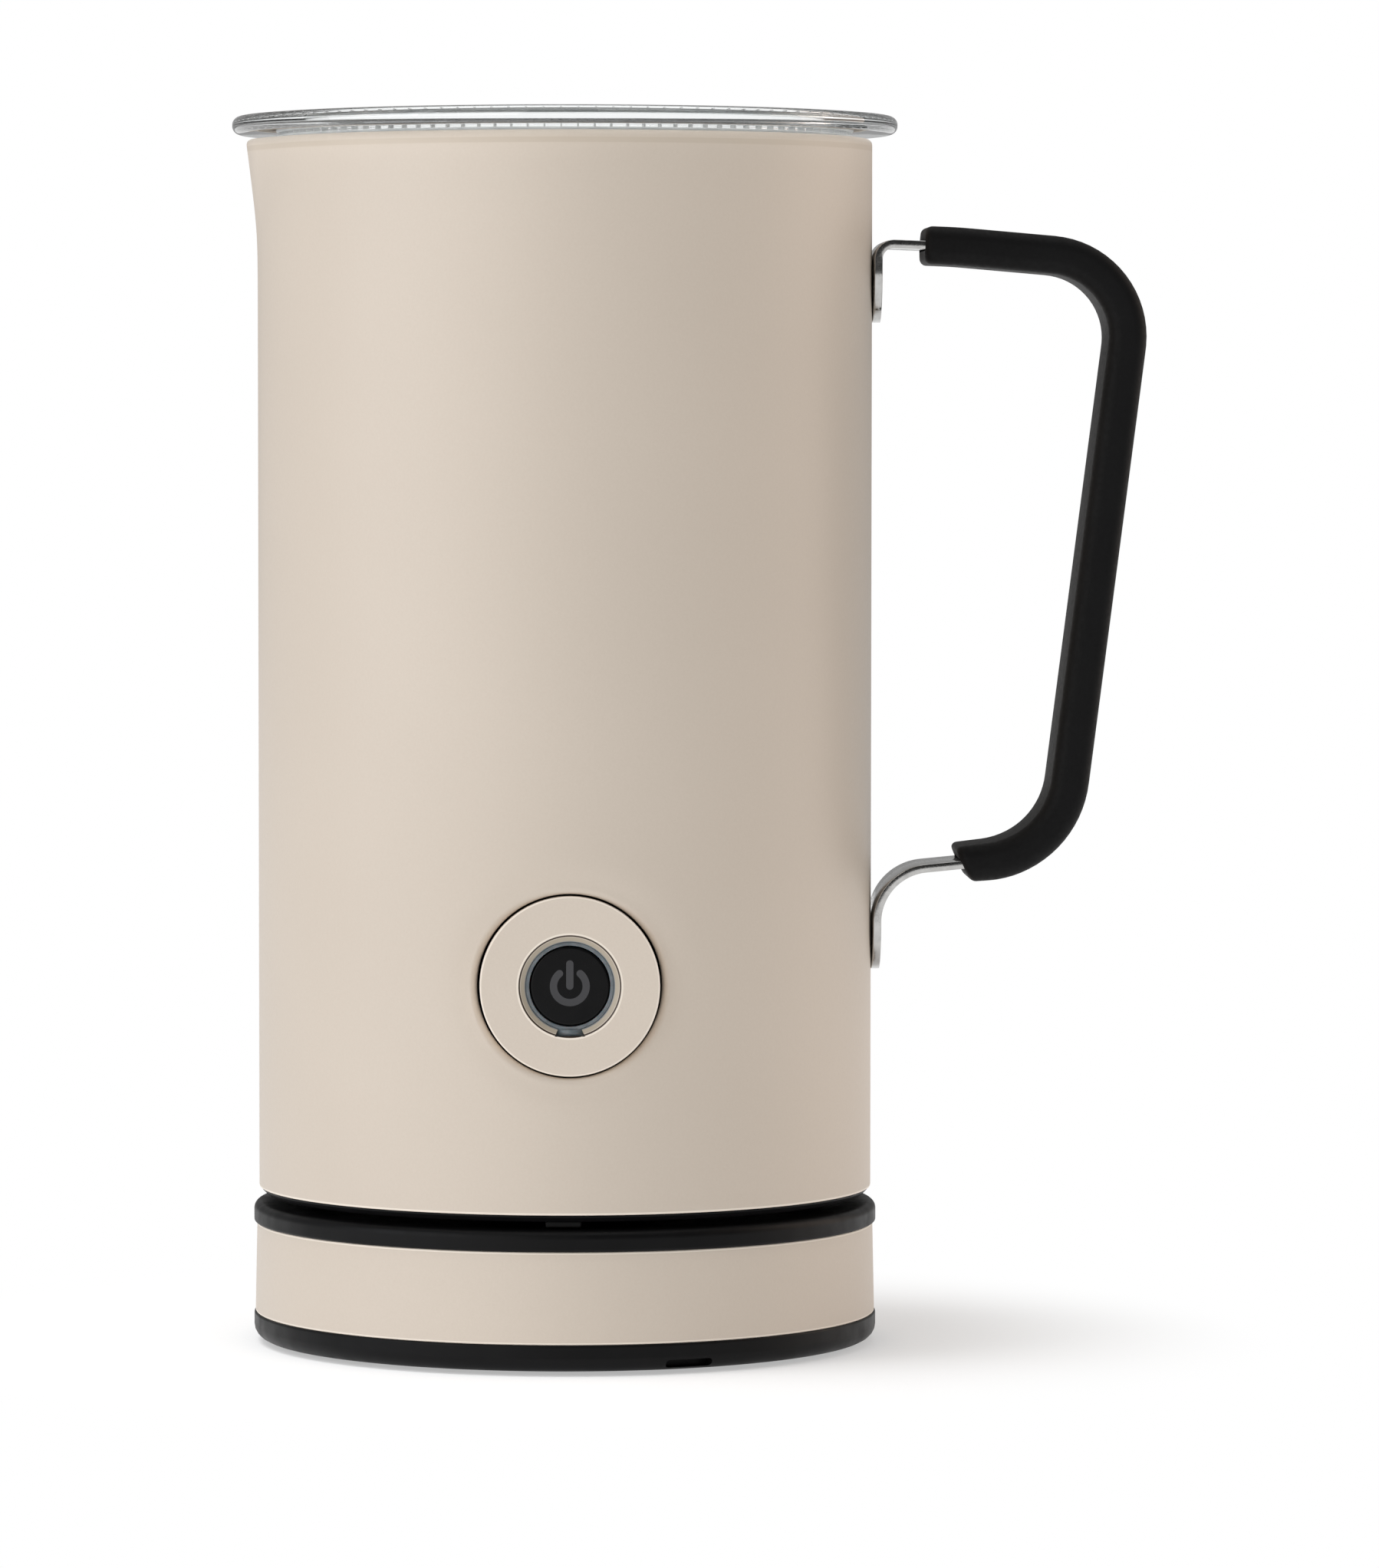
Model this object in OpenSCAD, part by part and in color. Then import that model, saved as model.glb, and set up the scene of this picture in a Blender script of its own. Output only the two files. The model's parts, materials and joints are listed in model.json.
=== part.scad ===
// Electric milk frother: a jug with a magnetic whisk on a 360 degree power base.
// Millimetres, +Z up. The origin is on the surface that the base stands on, under
// the centre of the jug. The handle points to +X, the spout to -X, the button to -Y.

/* [Jug] */
// Outer diameter of the jug's shell
jug_d = 100; // [96:1:130]
// Wall thickness of the shell
shell_t = 0.8; // [0.6:0.1:1.2]
// Depth of the pot from the rim to its floor
pot_depth = 108.9; // [85:0.1:140]
// Wall thickness of the pot
pot_t = 0.8; // [0.6:0.1:1.2]
// Gap between the shell and the pot
wall_gap = 1; // [0.8:0.1:3]
// Radius between the pot's wall and floor
pot_corner = 8; // [5:0.5:12]
// Height from the shell's lower edge to the underside of the pot
bay_h = 60.6; // [60:0.1:90]
// How far the spout stands out of the shell at the rim
spout_reach = 1.9; // [1:0.1:5]
// Height of the spout, up to the rim
spout_h = 15; // [10:1:30]
// Radius of the spout's curve seen from above
spout_r = 30; // [20:1:40]

/* [Base] */
// How far the base's covers stand out past the jug's shell
cover_margin = 0.85; // [0:0.05:3]
// Height of the metal band
band_h = 14.7; // [12:0.1:25]
// Wall thickness of the band
band_t = 0.8; // [0.6:0.1:1.5]
// Height of the bottom cover's visible wall
bottom_cover_h = 4.35; // [4:0.05:8]
// Height of the top cover's rounded edge
top_cover_h = 3.35; // [3:0.05:6]
// Gap between the base and the jug standing on it
seat_gap = 1.3; // [1.2:0.1:3]
// How far the feet stand out below the base
foot_proud = 0.6; // [0.4:0.1:2]
// Diameter of the connector boss
boss_d = 25; // [22:0.5:28]
// Height of the connector boss above the top cover
boss_h = 8; // [7:0.5:9]
// Bore for the mains cord
cord_bore_d = 6.6; // [5:0.1:8]

/* [Lid] */
// Overhang of the lid's flange past the shell
lid_overhang = 4.1; // [3:0.1:8]
// Thickness of the flange
lid_t = 3.3; // [2.5:0.1:5]
// Gap between the rim and the flange
lid_gap = 0.8; // [0.7:0.1:2]
// Depth of the lid's plug below the flange
plug_h = 9.9; // [9:0.1:16]
// Wall thickness of the plug
plug_t = 2; // [1.5:0.1:3]

/* [Handle] */
// Thickness of the steel strap
strap_t = 1.35; // [1:0.05:2]
// Width of the steel strap
strap_w = 15.75; // [9:0.25:22]
// Thickness of the grip
grip_t = 6.2; // [4.5:0.1:9]
// How far the grip stands out past each edge of the strap
grip_side = 0.9; // [0.8:0.1:3]
// Reach of the handle's upper corner from the shell
reach_top = 42.9; // [38:0.1:55]
// Reach of the handle's lower corner from the shell
reach_low = 30.6; // [27:0.1:45]
// Height between the two corners
grip_h = 98.6; // [80:0.1:110]
// Distance from the rim down to the upper corner
handle_drop = 20; // [18:0.1:30]

/* [Button] */
// Height of the button's centre above the shell's lower edge
button_h = 36.1; // [34:0.1:40]
// Outer diameter of the bezel
bezel_d = 28.4; // [24:0.1:30]
// Gap around the bezel in the shell
bezel_gap = 0.35; // [0.2:0.05:0.6]
// Depth of the bezel's face below the shell's front
bezel_recess = 0.6; // [0.2:0.1:1]
// Diameter of the bezel's opening at its face
bezel_mouth_d = 16.2; // [15:0.1:18]
// Inner diameter of the bezel
bezel_bore_d = 14; // [13.6:0.1:14.8]
// Diameter of the button cap
cap_d = 12.35; // [11:0.05:12.8]
// Travel of the button
button_travel = 0.8; // [0.4:0.1:1]

/* [Drive] */
// Outer diameter of the motor's can
motor_d = 25; // [20:0.5:28]
// Length of the motor's can
motor_l = 24; // [20:0.5:25]
// Diameter of the motor's shaft
shaft_d = 2; // [1.5:0.1:3]
// Diameter of the rotor disc and of the whisk's hub
hub_d = 24; // [22:0.5:27]
// Diameter of the magnets
magnet_d = 6; // [4:0.5:7]
// Radius of the circle that the magnets lie on
magnet_circle_r = 7.5; // [7:0.1:8]
// Radius of the whisk's ring
whisk_r = 17; // [16:0.5:24]
// Diameter of the post that carries the whisk
post_d = 6; // [5:0.5:6.5]

/* [Hidden] */
$fn = 96;

// Clearances
running = 0.05;        // round a shaft or post, on the radius
clear = 0.4;           // between pieces that lift apart
contact_gap = 0.5;     // between mating contacts and the pieces under them
eps = 0.01;            // cutters pass this far through

// Heights
cover_z = foot_proud;
cover_floor = 2.4;
band_z = cover_z + bottom_cover_h;
band_top_z = band_z + band_h;
base_top_z = band_top_z + top_cover_h;
jug_z = base_top_z + seat_gap;
cover_step = 1.1;
shell_z = jug_z + cover_step;
pot_z = shell_z + bay_h;
pot_floor_t = 1;
pot_floor_z = pot_z + pot_floor_t;
rim_z = pot_floor_z + pot_depth;
lid_z = rim_z + lid_gap;
lid_top_z = lid_z + lid_t;

// Radii
shell_r = jug_d / 2;
shell_in_r = shell_r - shell_t;
pot_r = shell_in_r - wall_gap;
pot_in_r = pot_r - pot_t;
cover_r = shell_r + cover_margin;
band_low_r = cover_r - 0.2;
band_high_r = cover_r - 0.5;
band_lip_r = band_high_r - band_t - clear;
lid_r = shell_r + lid_overhang;

// Rim
lip_t = shell_t;
lip_w = 1.4;
gasket_t = 0.8;
flange_clear = 0.1;

// Base
base_plate_t = 2;
plate_z = base_top_z - base_plate_t;
boss_r = boss_d / 2;
boss_top_z = base_top_z + boss_h;
boss_foot_z = cover_z + cover_floor + 3;
boss_flange_r = boss_r + 5.5;
pin_hole_r = 2.4;
pin_hole_depth = 12.5;
groove_r = 7;
groove_w = 1.6;
groove_depth = 7.5;
base_screw_r = shell_r - 18;
foot_circle_r = shell_r - 10;
foot_r = 5;
foot_seat = 1.4;
drain_w = 8;
drain_h = 1.3;
drain_z = cover_z + 1.1;
low_edge_r = 2.2;      // the bottom cover's lower edge
top_edge_r = 1.3;      // the top cover's upper edge
seam_edge_r = 0.4;     // the top cover's lower edge
gland_z = band_z + band_h / 2;
gland_collar = 1.3;
gland_l = 9;
gland_r = cord_bore_d / 2 + 1.3;
gland_collar_r = gland_r + 1.2;

// Screws
screw_head_r = 2.6;
screw_head_h = 1.2;
screw_shank_r = 1.25;
screw_play = 0.2;
screw_l = 10;
boss_wall = 2.2;
pilot_r = screw_shank_r;

// Jug's lower end
jug_floor_t = 2.4;
jug_floor_z = jug_z + jug_floor_t;
cover_lip_h = 5.3;
cover_lip_t = 2;
pad_h = 0.9;
pad_w = 5.6;
socket_in_r = boss_r + clear;
socket_r = socket_in_r + 2;
socket_roof_z = boss_top_z + clear;
socket_roof_t = 2.4;
pin_r = pin_hole_r - contact_gap;
blade_t = 0.7;

// Chassis
chassis_z = socket_roof_z + socket_roof_t + 0.8;
chassis_t = 2;
chassis_r = shell_in_r - 2.6;
column_circle_r = shell_r - 12;
column_r = 4;
column_angles = [0, 90, 180];
ring_out_r = column_circle_r + 2;
ring_in_r = column_circle_r - 4;
ring_h = 6;

// Drive, counted down from the pot
rotor_gap = 1.5;
rotor_t = 5.5;
magnet_t = 3;
magnet_count = 4;
rotor_top_z = pot_z - rotor_gap;
rotor_z = rotor_top_z - rotor_t;
bracket_t = 1.2;
bracket_z = pot_z - 16;
bracket_r = motor_d / 2 + 4;
can_z = bracket_z - motor_l;
can_r = motor_d / 2;
can_t = 1;
bush_r = shaft_d / 2 + 2;
bush_proud = 1.8;
shaft_r = shaft_d / 2;
stator_t = 2.3;
armature_r = can_r - can_t - stator_t - 0.7;

// Heater
plate_t = 2.8;
plate_in_r = hub_d / 2 + 5;
plate_out_r = ring_in_r - 1;
element_r = 27.5;
element_w = 6;
element_h = 5;
element_gap_deg = 36;
element_mid_deg = 45;
sensor_r = 2.5;
sensor_circle_r = plate_in_r + 3.8;

// Control board
board_z = chassis_z + chassis_t + 2.4;
board_t = 1.6;
board_r = 31;
board_top_z = board_z + board_t;
peg_circle_r = board_r - 5;

// Button, counted outwards from the jug's axis
button_z = shell_z + button_h;
bezel_r = bezel_d / 2;
hole_r = bezel_r + bezel_gap;
bezel_face = shell_r - bezel_recess;
bezel_back = sqrt(pow(shell_in_r, 2) - pow(hole_r, 2));
bezel_bevel = 0.7;
bezel_bore_r = bezel_bore_d / 2;
guide_flange_t = 0.8;
guide_flange_r = bezel_bore_r + 2;
guide_back = bezel_back - guide_flange_t;
guide_face = bezel_face - 0.9;
guide_gap = 0.2;
key_w = 3.4;
cap_r = cap_d / 2;
cap_face = bezel_face - 0.8;
cap_flange_r = bezel_bore_r - 0.1;
cap_flange_t = 0.9;
cap_flange_front = guide_back - 0.3;
cap_back = cap_flange_front - cap_flange_t;
housing_r = bezel_r - 0.2;
housing_bore_r = guide_flange_r + 0.2;
housing_l = 9;
housing_back = bezel_back - housing_l;
small_board_r = housing_r - 2.2;
small_board_face = bezel_back - 5.4;
switch_h = 2.1;
stem_gap = 0.1;
stem_tip = small_board_face + switch_h + button_travel + stem_gap;
symbol_r = 3.15;
symbol_w = 1.15;
symbol_depth = 0.15;
symbol_open_deg = 39;
symbol_bar_top = 4.1;
symbol_bar_low = 0.55;

// Whisk
hub_z = pot_floor_z + 1;
hub_t = 7;
hub_r = hub_d / 2 - 2.5;
post_h = 12;
ring_wire_r = 0.8;
ring_z = hub_z + 4.5;
spoke_r = 0.7;
spoke_seat = 1.5;
coil_r = 2.3;
coil_wire_r = 0.4;
coil_turns = 28;

// Handle: the strap's centre line turns these corners, each with its bend radius
weld_gap = 0.02;
strap_x = shell_r + weld_gap + strap_t / 2;
corner_top_z = rim_z - handle_drop;
corner_low_z = corner_top_z - grip_h;
foot_top_z = corner_top_z - 9.7;
foot_low_z = corner_low_z - 16.6;
bend_step = 5;
strap_path = [
    [[strap_x, foot_top_z], 0],
    [[strap_x, corner_top_z + 3.1], 2.5],
    [[shell_r + 13.5, corner_top_z + 2.6], 60],
    [[shell_r + reach_top, corner_top_z], 13.3],
    [[shell_r + reach_low, corner_low_z + 2.4], 15],
    [[strap_x, corner_low_z - 0.55], 8.8],
    [[strap_x, foot_low_z], 0]
];
grip_start = shell_r + 8.3;
grip_end = shell_r + 14.6;
grip_w = strap_w + 2 * grip_side;
grip_path = [
    [on_line(strap_path[1][0], strap_path[2][0], grip_start), 0],
    strap_path[2],
    strap_path[3],
    strap_path[4],
    [on_line(strap_path[4][0], strap_path[5][0], grip_end), 0]
];

// ---- Shapes that repeat ----

// Solid disc between two heights
module disc(r, z0, z1) {
    translate([0, 0, z0]) cylinder(r = r, h = z1 - z0);
}

// Ring between two heights
module tube(r, r_in, z0, z1) {
    difference() {
        disc(r, z0, z1);
        disc(r_in, z0 - eps, z1 + eps);
    }
}

// Children at a radius, at each of a list of angles
module around(r, angles) {
    for (a = angles) rotate([0, 0, a]) translate([r, 0, 0]) children();
}

function turns(count, first = 0) = [for (i = [0:count - 1]) first + i * 360 / count];

// Children on the button's axis: their z counts outwards from the jug's axis
module at_front() {
    translate([0, 0, button_z]) rotate([90, 0, 0]) children();
}

// Pan-head screw with its head's underside at z = 0 and its shank upwards
module screw(l = screw_l) {
    difference() {
        disc(screw_head_r, -screw_head_h, 0);
        for (a = [0, 90]) rotate([0, 0, a])
            translate([-1.6, -0.4, -screw_head_h - eps]) cube([3.2, 0.8, 0.7]);
    }
    disc(screw_shank_r, 0, l);
}

// The leaning cylinder that bulges a wall of radius r into a spout, between two heights
module spout_form(r, z0, z1) {
    lean = atan(spout_reach / spout_h);
    offset_x = shell_r - spout_r;
    low_z = max(z0, rim_z - spout_h - 6);
    intersection() {
        translate([-offset_x, 0, rim_z - spout_h]) rotate([0, -lean, 0])
            translate([0, 0, -20]) cylinder(r = r - offset_x, h = 60);
        translate([-2 * jug_d, -jug_d, low_z]) cube([2 * jug_d, 2 * jug_d, z1 - low_z]);
    }
}

// The jug's round form with its spout
module jug_form(r, z0, z1) {
    disc(r, z0, z1);
    spout_form(r, z0, z1);
}

// ---- Bent paths in the x-z plane ----

function on_line(a, b, x) = [x, a[1] + (b[1] - a[1]) * (x - a[0]) / (b[0] - a[0])];
function heading(a, b) = atan2(b[1] - a[1], b[0] - a[0]);
function turn_at(p, i) = let (d = heading(p[i][0], p[i + 1][0]) - heading(p[i - 1][0], p[i][0]))
    d > 180 ? d - 360 : d < -180 ? d + 360 : d;
function is_bend(p, i) = i > 0 && i < len(p) - 1;
function setback(p, i) = p[i][1] * tan(abs(turn_at(p, i)) / 2);

// The path as points with headings, its corners turned in steps
function corner_points(p, i) = let (
    turn = turn_at(p, i),
    steps = ceil(abs(turn) / bend_step),
    first = heading(p[i - 1][0], p[i][0]),
    start = p[i][0] - setback(p, i) * [cos(first), sin(first)],
    r = sign(turn) * p[i][1],
    centre = start + r * [-sin(first), cos(first)]
) [for (k = [0:steps]) let (h = first + turn * k / steps) [centre + r * [sin(h), -cos(h)], h]];
function path_points(p) = [
    for (i = [0:len(p) - 1])
        for (point = is_bend(p, i) ? corner_points(p, i)
            : [[p[i][0], heading(p[max(i - 1, 0)][0], p[max(i, 1)][0])]])
            point
];

// Flat strip along a path: its thickness lies in the x-z plane, its width along Y
module strip(p, t, w) {
    points = path_points(p);
    side = [for (s = points) t / 2 * [-sin(s[1]), cos(s[1])]];
    last = len(points) - 1;
    rotate([90, 0, 0]) linear_extrude(w, center = true) polygon(concat(
        [for (i = [0:last]) points[i][0] + side[i]],
        [for (i = [last:-1:0]) points[i][0] - side[i]]
    ));
}

// ---- Base ----

module base_bottom_cover() {
    floor_z = cover_z + cover_floor;
    wall = 2;
    color("#1c1c1d") difference() {
        rotate_extrude() {
            polygon([
                [0, cover_z], [cover_r - low_edge_r, cover_z], [cover_r - low_edge_r, cover_z + low_edge_r],
                [cover_r, cover_z + low_edge_r], [cover_r, band_z], [band_lip_r, band_z],
                [band_lip_r, band_z + 2.5], [band_lip_r - wall, band_z + 2.5],
                [band_lip_r - wall, floor_z], [0, floor_z]
            ]);
            translate([cover_r - low_edge_r, cover_z + low_edge_r]) circle(r = low_edge_r);
        }
        around(foot_circle_r, turns(3, 90)) disc(foot_r, cover_z - eps, cover_z + foot_seat);
        around(base_screw_r, turns(3, 30)) {
            disc(screw_head_r + screw_play, cover_z - eps, cover_z + screw_head_h + 0.3);
            disc(screw_shank_r + screw_play, cover_z, floor_z + eps);
        }
        around(cover_r, turns(3, -68)) translate([0, 0, drain_z]) rotate([0, 90, 0])
            for (y = [-1, 1]) translate([0, y * (drain_w - drain_h) / 2, -3]) cylinder(d = drain_h, h = 6);
        around(cover_r, turns(3, -68))
            translate([-3, -(drain_w - drain_h) / 2, drain_z - drain_h / 2]) cube([6, drain_w - drain_h, drain_h]);
        gland_notch();
    }
}

// Room for the gland's collar in the covers' skirts inside the band
module gland_notch() {
    intersection() {
        translate([0, 0, gland_z]) rotate([-90, 0, 0]) disc(gland_collar_r + clear, 0, jug_d);
        disc(jug_d, band_z, band_top_z);
    }
}

module base_band() {
    color("#cdbfaf") difference() {
        translate([0, 0, band_z]) cylinder(r1 = band_low_r, r2 = band_high_r, h = band_h);
        translate([0, 0, band_z - eps])
            cylinder(r1 = band_low_r - band_t, r2 = band_high_r - band_t, h = band_h + 2 * eps);
        translate([0, 0, gland_z]) rotate([-90, 0, 0]) disc(gland_r, 0, jug_d);
    }
}

module base_top_cover() {
    lip = 2;
    color("#1c1c1d") difference() {
        union() {
            rotate_extrude() difference() {
                union() {
                    square_from(0, band_top_z, cover_r - top_edge_r, base_top_z);
                    square_from(0, band_top_z, cover_r - seam_edge_r, base_top_z - top_edge_r);
                    square_from(0, band_top_z + seam_edge_r, cover_r, base_top_z - top_edge_r);
                    translate([cover_r - top_edge_r, base_top_z - top_edge_r]) circle(r = top_edge_r);
                    translate([cover_r - seam_edge_r, band_top_z + seam_edge_r]) circle(r = seam_edge_r);
                    translate([0, band_top_z - 2.5]) square([band_lip_r, 3]);
                }
                translate([-eps, band_top_z - 3]) square([band_lip_r - lip, plate_z - band_top_z + 3]);
            }
            around(base_screw_r, turns(3, 30))
                disc(screw_shank_r + boss_wall, cover_z + cover_floor, plate_z + eps);
        }
        disc(boss_r, band_top_z, base_top_z + eps);
        around(base_screw_r, turns(3, 30)) disc(pilot_r, cover_z, cover_z + 14);
        gland_notch();
    }
}

module base_connector() {
    color("#2a2a2b") difference() {
        union() {
            disc(boss_r, boss_foot_z, boss_top_z);
            disc(boss_flange_r, plate_z - 2, plate_z);
        }
        disc(pin_hole_r, boss_top_z - pin_hole_depth, boss_top_z + eps);
        tube(groove_r + groove_w, groove_r, boss_top_z - groove_depth, boss_top_z + eps);
    }
}

module base_contacts() {
    color("#c9a35a") {
        disc(pin_hole_r, boss_top_z - pin_hole_depth, boss_top_z - pin_hole_depth + 0.8);
        tube(groove_r + groove_w, groove_r, boss_top_z - groove_depth, boss_top_z - groove_depth + 0.5);
    }
}

module rubber_feet() {
    color("#111111") around(foot_circle_r, turns(3, 90)) disc(foot_r, 0, cover_z + foot_seat);
}

module base_screws() {
    color("#9a9a98") around(base_screw_r, turns(3, 30))
        translate([0, 0, cover_z + screw_head_h + 0.3]) screw();
}

module cord_gland() {
    face = band_low_r + gland_collar;
    color("#141414") translate([0, 0, gland_z]) rotate([-90, 0, 0]) difference() {
        union() {
            disc(gland_r, face - gland_l, face);
            intersection() {
                disc(gland_collar_r, face - 3, face);
                rotate([-90, 0, 0]) tube(jug_d, band_low_r, -jug_d, jug_d);
            }
            intersection() {
                disc(gland_collar_r, face - gland_l, face);
                rotate([-90, 0, 0]) disc(band_high_r - band_t, -jug_d, jug_d);
            }
        }
        disc(cord_bore_d / 2, face - gland_l - eps, face + eps);
    }
}

module base_leads() {
    lead_r = 0.9;
    gland_end = band_low_r + gland_collar - gland_l;
    color("#7a4a2a") for (x = [-1.6, 1.6])
        translate([x, boss_r - 0.1, gland_z]) rotate([-90, 0, 0])
            cylinder(r = lead_r, h = gland_end - boss_r - 0.4);
}

// ---- Jug ----

module outer_shell() {
    lip_r = shell_r - lip_w;
    color("#cdbfaf") difference() {
        jug_form(shell_r, shell_z, rim_z);
        jug_form(shell_in_r, shell_z - eps, rim_z - lip_t);
        jug_form(lip_r, shell_z, rim_z + eps);
        at_front() disc(hole_r, bezel_back - 6, jug_d);
    }
}

module inner_pot() {
    flange_z = rim_z - lip_t - gasket_t;
    color("#c8c8c6") difference() {
        union() {
            pot_blank(pot_r, pot_corner, pot_z, flange_z);
            jug_form(shell_in_r - flange_clear, flange_z - pot_t, flange_z);
        }
        pot_blank(pot_in_r, pot_corner - pot_t, pot_floor_z, rim_z);
    }
}

// Round pot with a rounded lower edge and the spout's bulge
module pot_blank(r, corner, z0, z1) {
    rotate_extrude() {
        square_from(0, z0, r - corner, z1);
        square_from(0, z0 + corner, r, z1);
        translate([r - corner, z0 + corner]) circle(r = corner);
    }
    spout_form(r, z0 + corner, z1);
}

module square_from(x0, y0, x1, y1) {
    translate([x0, y0]) square([x1 - x0, y1 - y0]);
}

module rim_gasket() {
    color("#3a3a3a") difference() {
        jug_form(shell_in_r - flange_clear, rim_z - lip_t - gasket_t, rim_z - lip_t);
        jug_form(pot_in_r, rim_z - lip_t - 2 * gasket_t, rim_z);
    }
}

module whisk_post() {
    color("#d0d0ce") {
        disc(post_d / 2, pot_floor_z, pot_floor_z + post_h - post_d / 2);
        translate([0, 0, pot_floor_z + post_h - post_d / 2]) sphere(d = post_d);
        disc(post_d / 2 + 2, pot_floor_z, hub_z - 0.4);
    }
}

module heat_plate() {
    color("#b8b8b8") difference() {
        tube(plate_out_r, plate_in_r, pot_z - plate_t, pot_z);
        around(sensor_circle_r, [200]) disc(sensor_r, pot_z - plate_t - eps, pot_z + eps);
    }
}

module heating_element() {
    top_z = pot_z - plate_t;
    sweep = 360 - element_gap_deg;
    first = element_mid_deg + element_gap_deg / 2;
    pin_l = 4;
    color("#8c8c8c") {
        rotate([0, 0, first]) rotate_extrude(angle = sweep) {
            square_from(element_r - element_w / 2, top_z - 2, element_r + element_w / 2, top_z);
            translate([element_r, top_z - 2]) intersection() {
                circle(r = element_w / 2);
                square_from(-element_w, -element_w, element_w, 0);
            }
        }
        around(element_r, [first + 5, first + sweep - 5]) disc(1.5, top_z - element_h - pin_l, top_z - 1);
    }
}

module temperature_sensor() {
    color("#d8d8d8") around(sensor_circle_r, [200]) {
        disc(sensor_r, pot_z - 7, pot_z);
        disc(sensor_r + 0.8, pot_z - 8.5, pot_z - 7);
    }
}

module thermal_fuse() {
    color("#e6e2d8") around(sensor_circle_r, [135]) rotate([0, 0, 90])
        translate([-6, -2.5, pot_z - plate_t - 3]) cube([12, 5, 3]);
}

module chassis() {
    rail_w = 2 * housing_r - 8;
    rail_t = 2;
    color("#c4c4bf") difference() {
        union() {
            disc(chassis_r, chassis_z, chassis_z + chassis_t);
            tube(ring_out_r, ring_in_r, pot_z - ring_h, pot_z);
            around(column_circle_r, column_angles) disc(column_r, jug_floor_z, pot_z - ring_h);
            translate([-rail_w / 2, -housing_back, chassis_z])
                cube([rail_w, rail_t, pot_z - ring_h / 2 - chassis_z]);
            around(peg_circle_r, turns(3, 30)) disc(2, chassis_z, board_z);
        }
        disc(10, chassis_z - eps, chassis_z + chassis_t + eps);
        around(column_circle_r, column_angles) disc(pilot_r, jug_floor_z - eps, jug_floor_z + 14);
        at_front() disc(5, housing_back - rail_t - eps, housing_back + eps);
    }
}

module motor_bracket() {
    arm_w = 8;
    color("#a8a8a6") difference() {
        union() {
            disc(bracket_r, bracket_z, bracket_z + bracket_t);
            for (a = column_angles) rotate([0, 0, a])
                translate([0, -arm_w / 2, bracket_z]) cube([column_circle_r - column_r, arm_w, bracket_t]);
        }
        disc(bush_r, bracket_z - eps, bracket_z + bracket_t + eps);
    }
}

module motor_can() {
    color("#b5b5b3") difference() {
        disc(can_r, can_z, bracket_z);
        disc(can_r - can_t, can_z + can_t, bracket_z - can_t);
        disc(bush_r, can_z - eps, bracket_z + eps);
    }
}

module stator_magnets() {
    color("#4a4a4c") for (a = [20, 200]) rotate([0, 0, a]) rotate_extrude(angle = 140)
        square_from(can_r - can_t - stator_t, can_z + 4, can_r - can_t, bracket_z - 4);
}

module motor_bushes() {
    color("#b08d57") {
        tube(bush_r, shaft_r + running, bracket_z - can_t, bracket_z + bracket_t + bush_proud);
        tube(bush_r, shaft_r + running, can_z - 1, can_z + can_t);
    }
}

module control_board() {
    color("#2f6b3c") disc(board_r, board_z, board_top_z);
}

module board_components() {
    color("#30363c") {
        translate([15.5, -6, board_top_z]) cube([11, 12, 14]);
        translate([-7, 15.5, board_top_z]) cube([14, 11, 12]);
        translate([-20, 7, 0]) disc(4.5, board_top_z, board_top_z + 16);
        translate([-21, -8, 0]) disc(3, board_top_z, board_top_z + 10);
        translate([-6, -26, board_top_z]) cube([12, 5, 8]);
        translate([6, -16, board_top_z]) cube([8, 5, 1.5]);
    }
}

module button_housing() {
    color("#202021") at_front() difference() {
        disc(housing_r, housing_back, bezel_back);
        disc(guide_flange_r, guide_back, bezel_back + eps);
        disc(housing_bore_r, small_board_face, guide_back + eps);
        disc(small_board_r, housing_back - eps, small_board_face);
    }
}

module button_board() {
    color("#2f6b3c") at_front() disc(small_board_r, small_board_face - board_t, small_board_face);
}

module tact_switch() {
    body = 6;
    body_h = switch_h - 0.5;
    color("#3c3c3e") at_front() {
        translate([-body / 2, -body / 2, small_board_face]) cube([body, body, body_h]);
        disc(1.7, small_board_face + body_h - eps, small_board_face + switch_h);
    }
}

module status_leds() {
    color("#e8e6df") at_front() around(guide_flange_r - 1.1, turns(4, 45))
        translate([-1, -1, small_board_face]) cube([1.6, 2, 1.2]);
}

module light_ring() {
    inner = cap_r + guide_gap;
    color("#6f7d88") at_front() {
        difference() {
            disc(bezel_bore_r, bezel_back - eps, guide_face);
            disc(inner, bezel_back - 1, guide_face + eps);
        }
        tube(guide_flange_r, inner, guide_back, bezel_back);
        key();
    }
}

// Key at six o'clock of the light ring, and its slot in the bezel
module key(grow = 0) {
    mouth_r = bezel_mouth_d / 2;
    inner = cap_r + guide_gap;
    intersection() {
        disc(mouth_r - 0.1, bezel_back - eps, guide_face);
        translate([-key_w / 2 - grow, -mouth_r, bezel_back - eps])
            cube([key_w + 2 * grow, mouth_r - inner - 0.3, jug_d]);
    }
}

module button_bezel() {
    mouth_r = bezel_mouth_d / 2;
    color("#d2c5b5") at_front() difference() {
        disc(bezel_r, bezel_back, bezel_face);
        disc(bezel_bore_r, bezel_back - eps, bezel_face + eps);
        translate([0, 0, bezel_face - bezel_bevel])
            cylinder(r1 = bezel_bore_r, r2 = mouth_r, h = bezel_bevel + eps);
        key(eps);
    }
}

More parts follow.
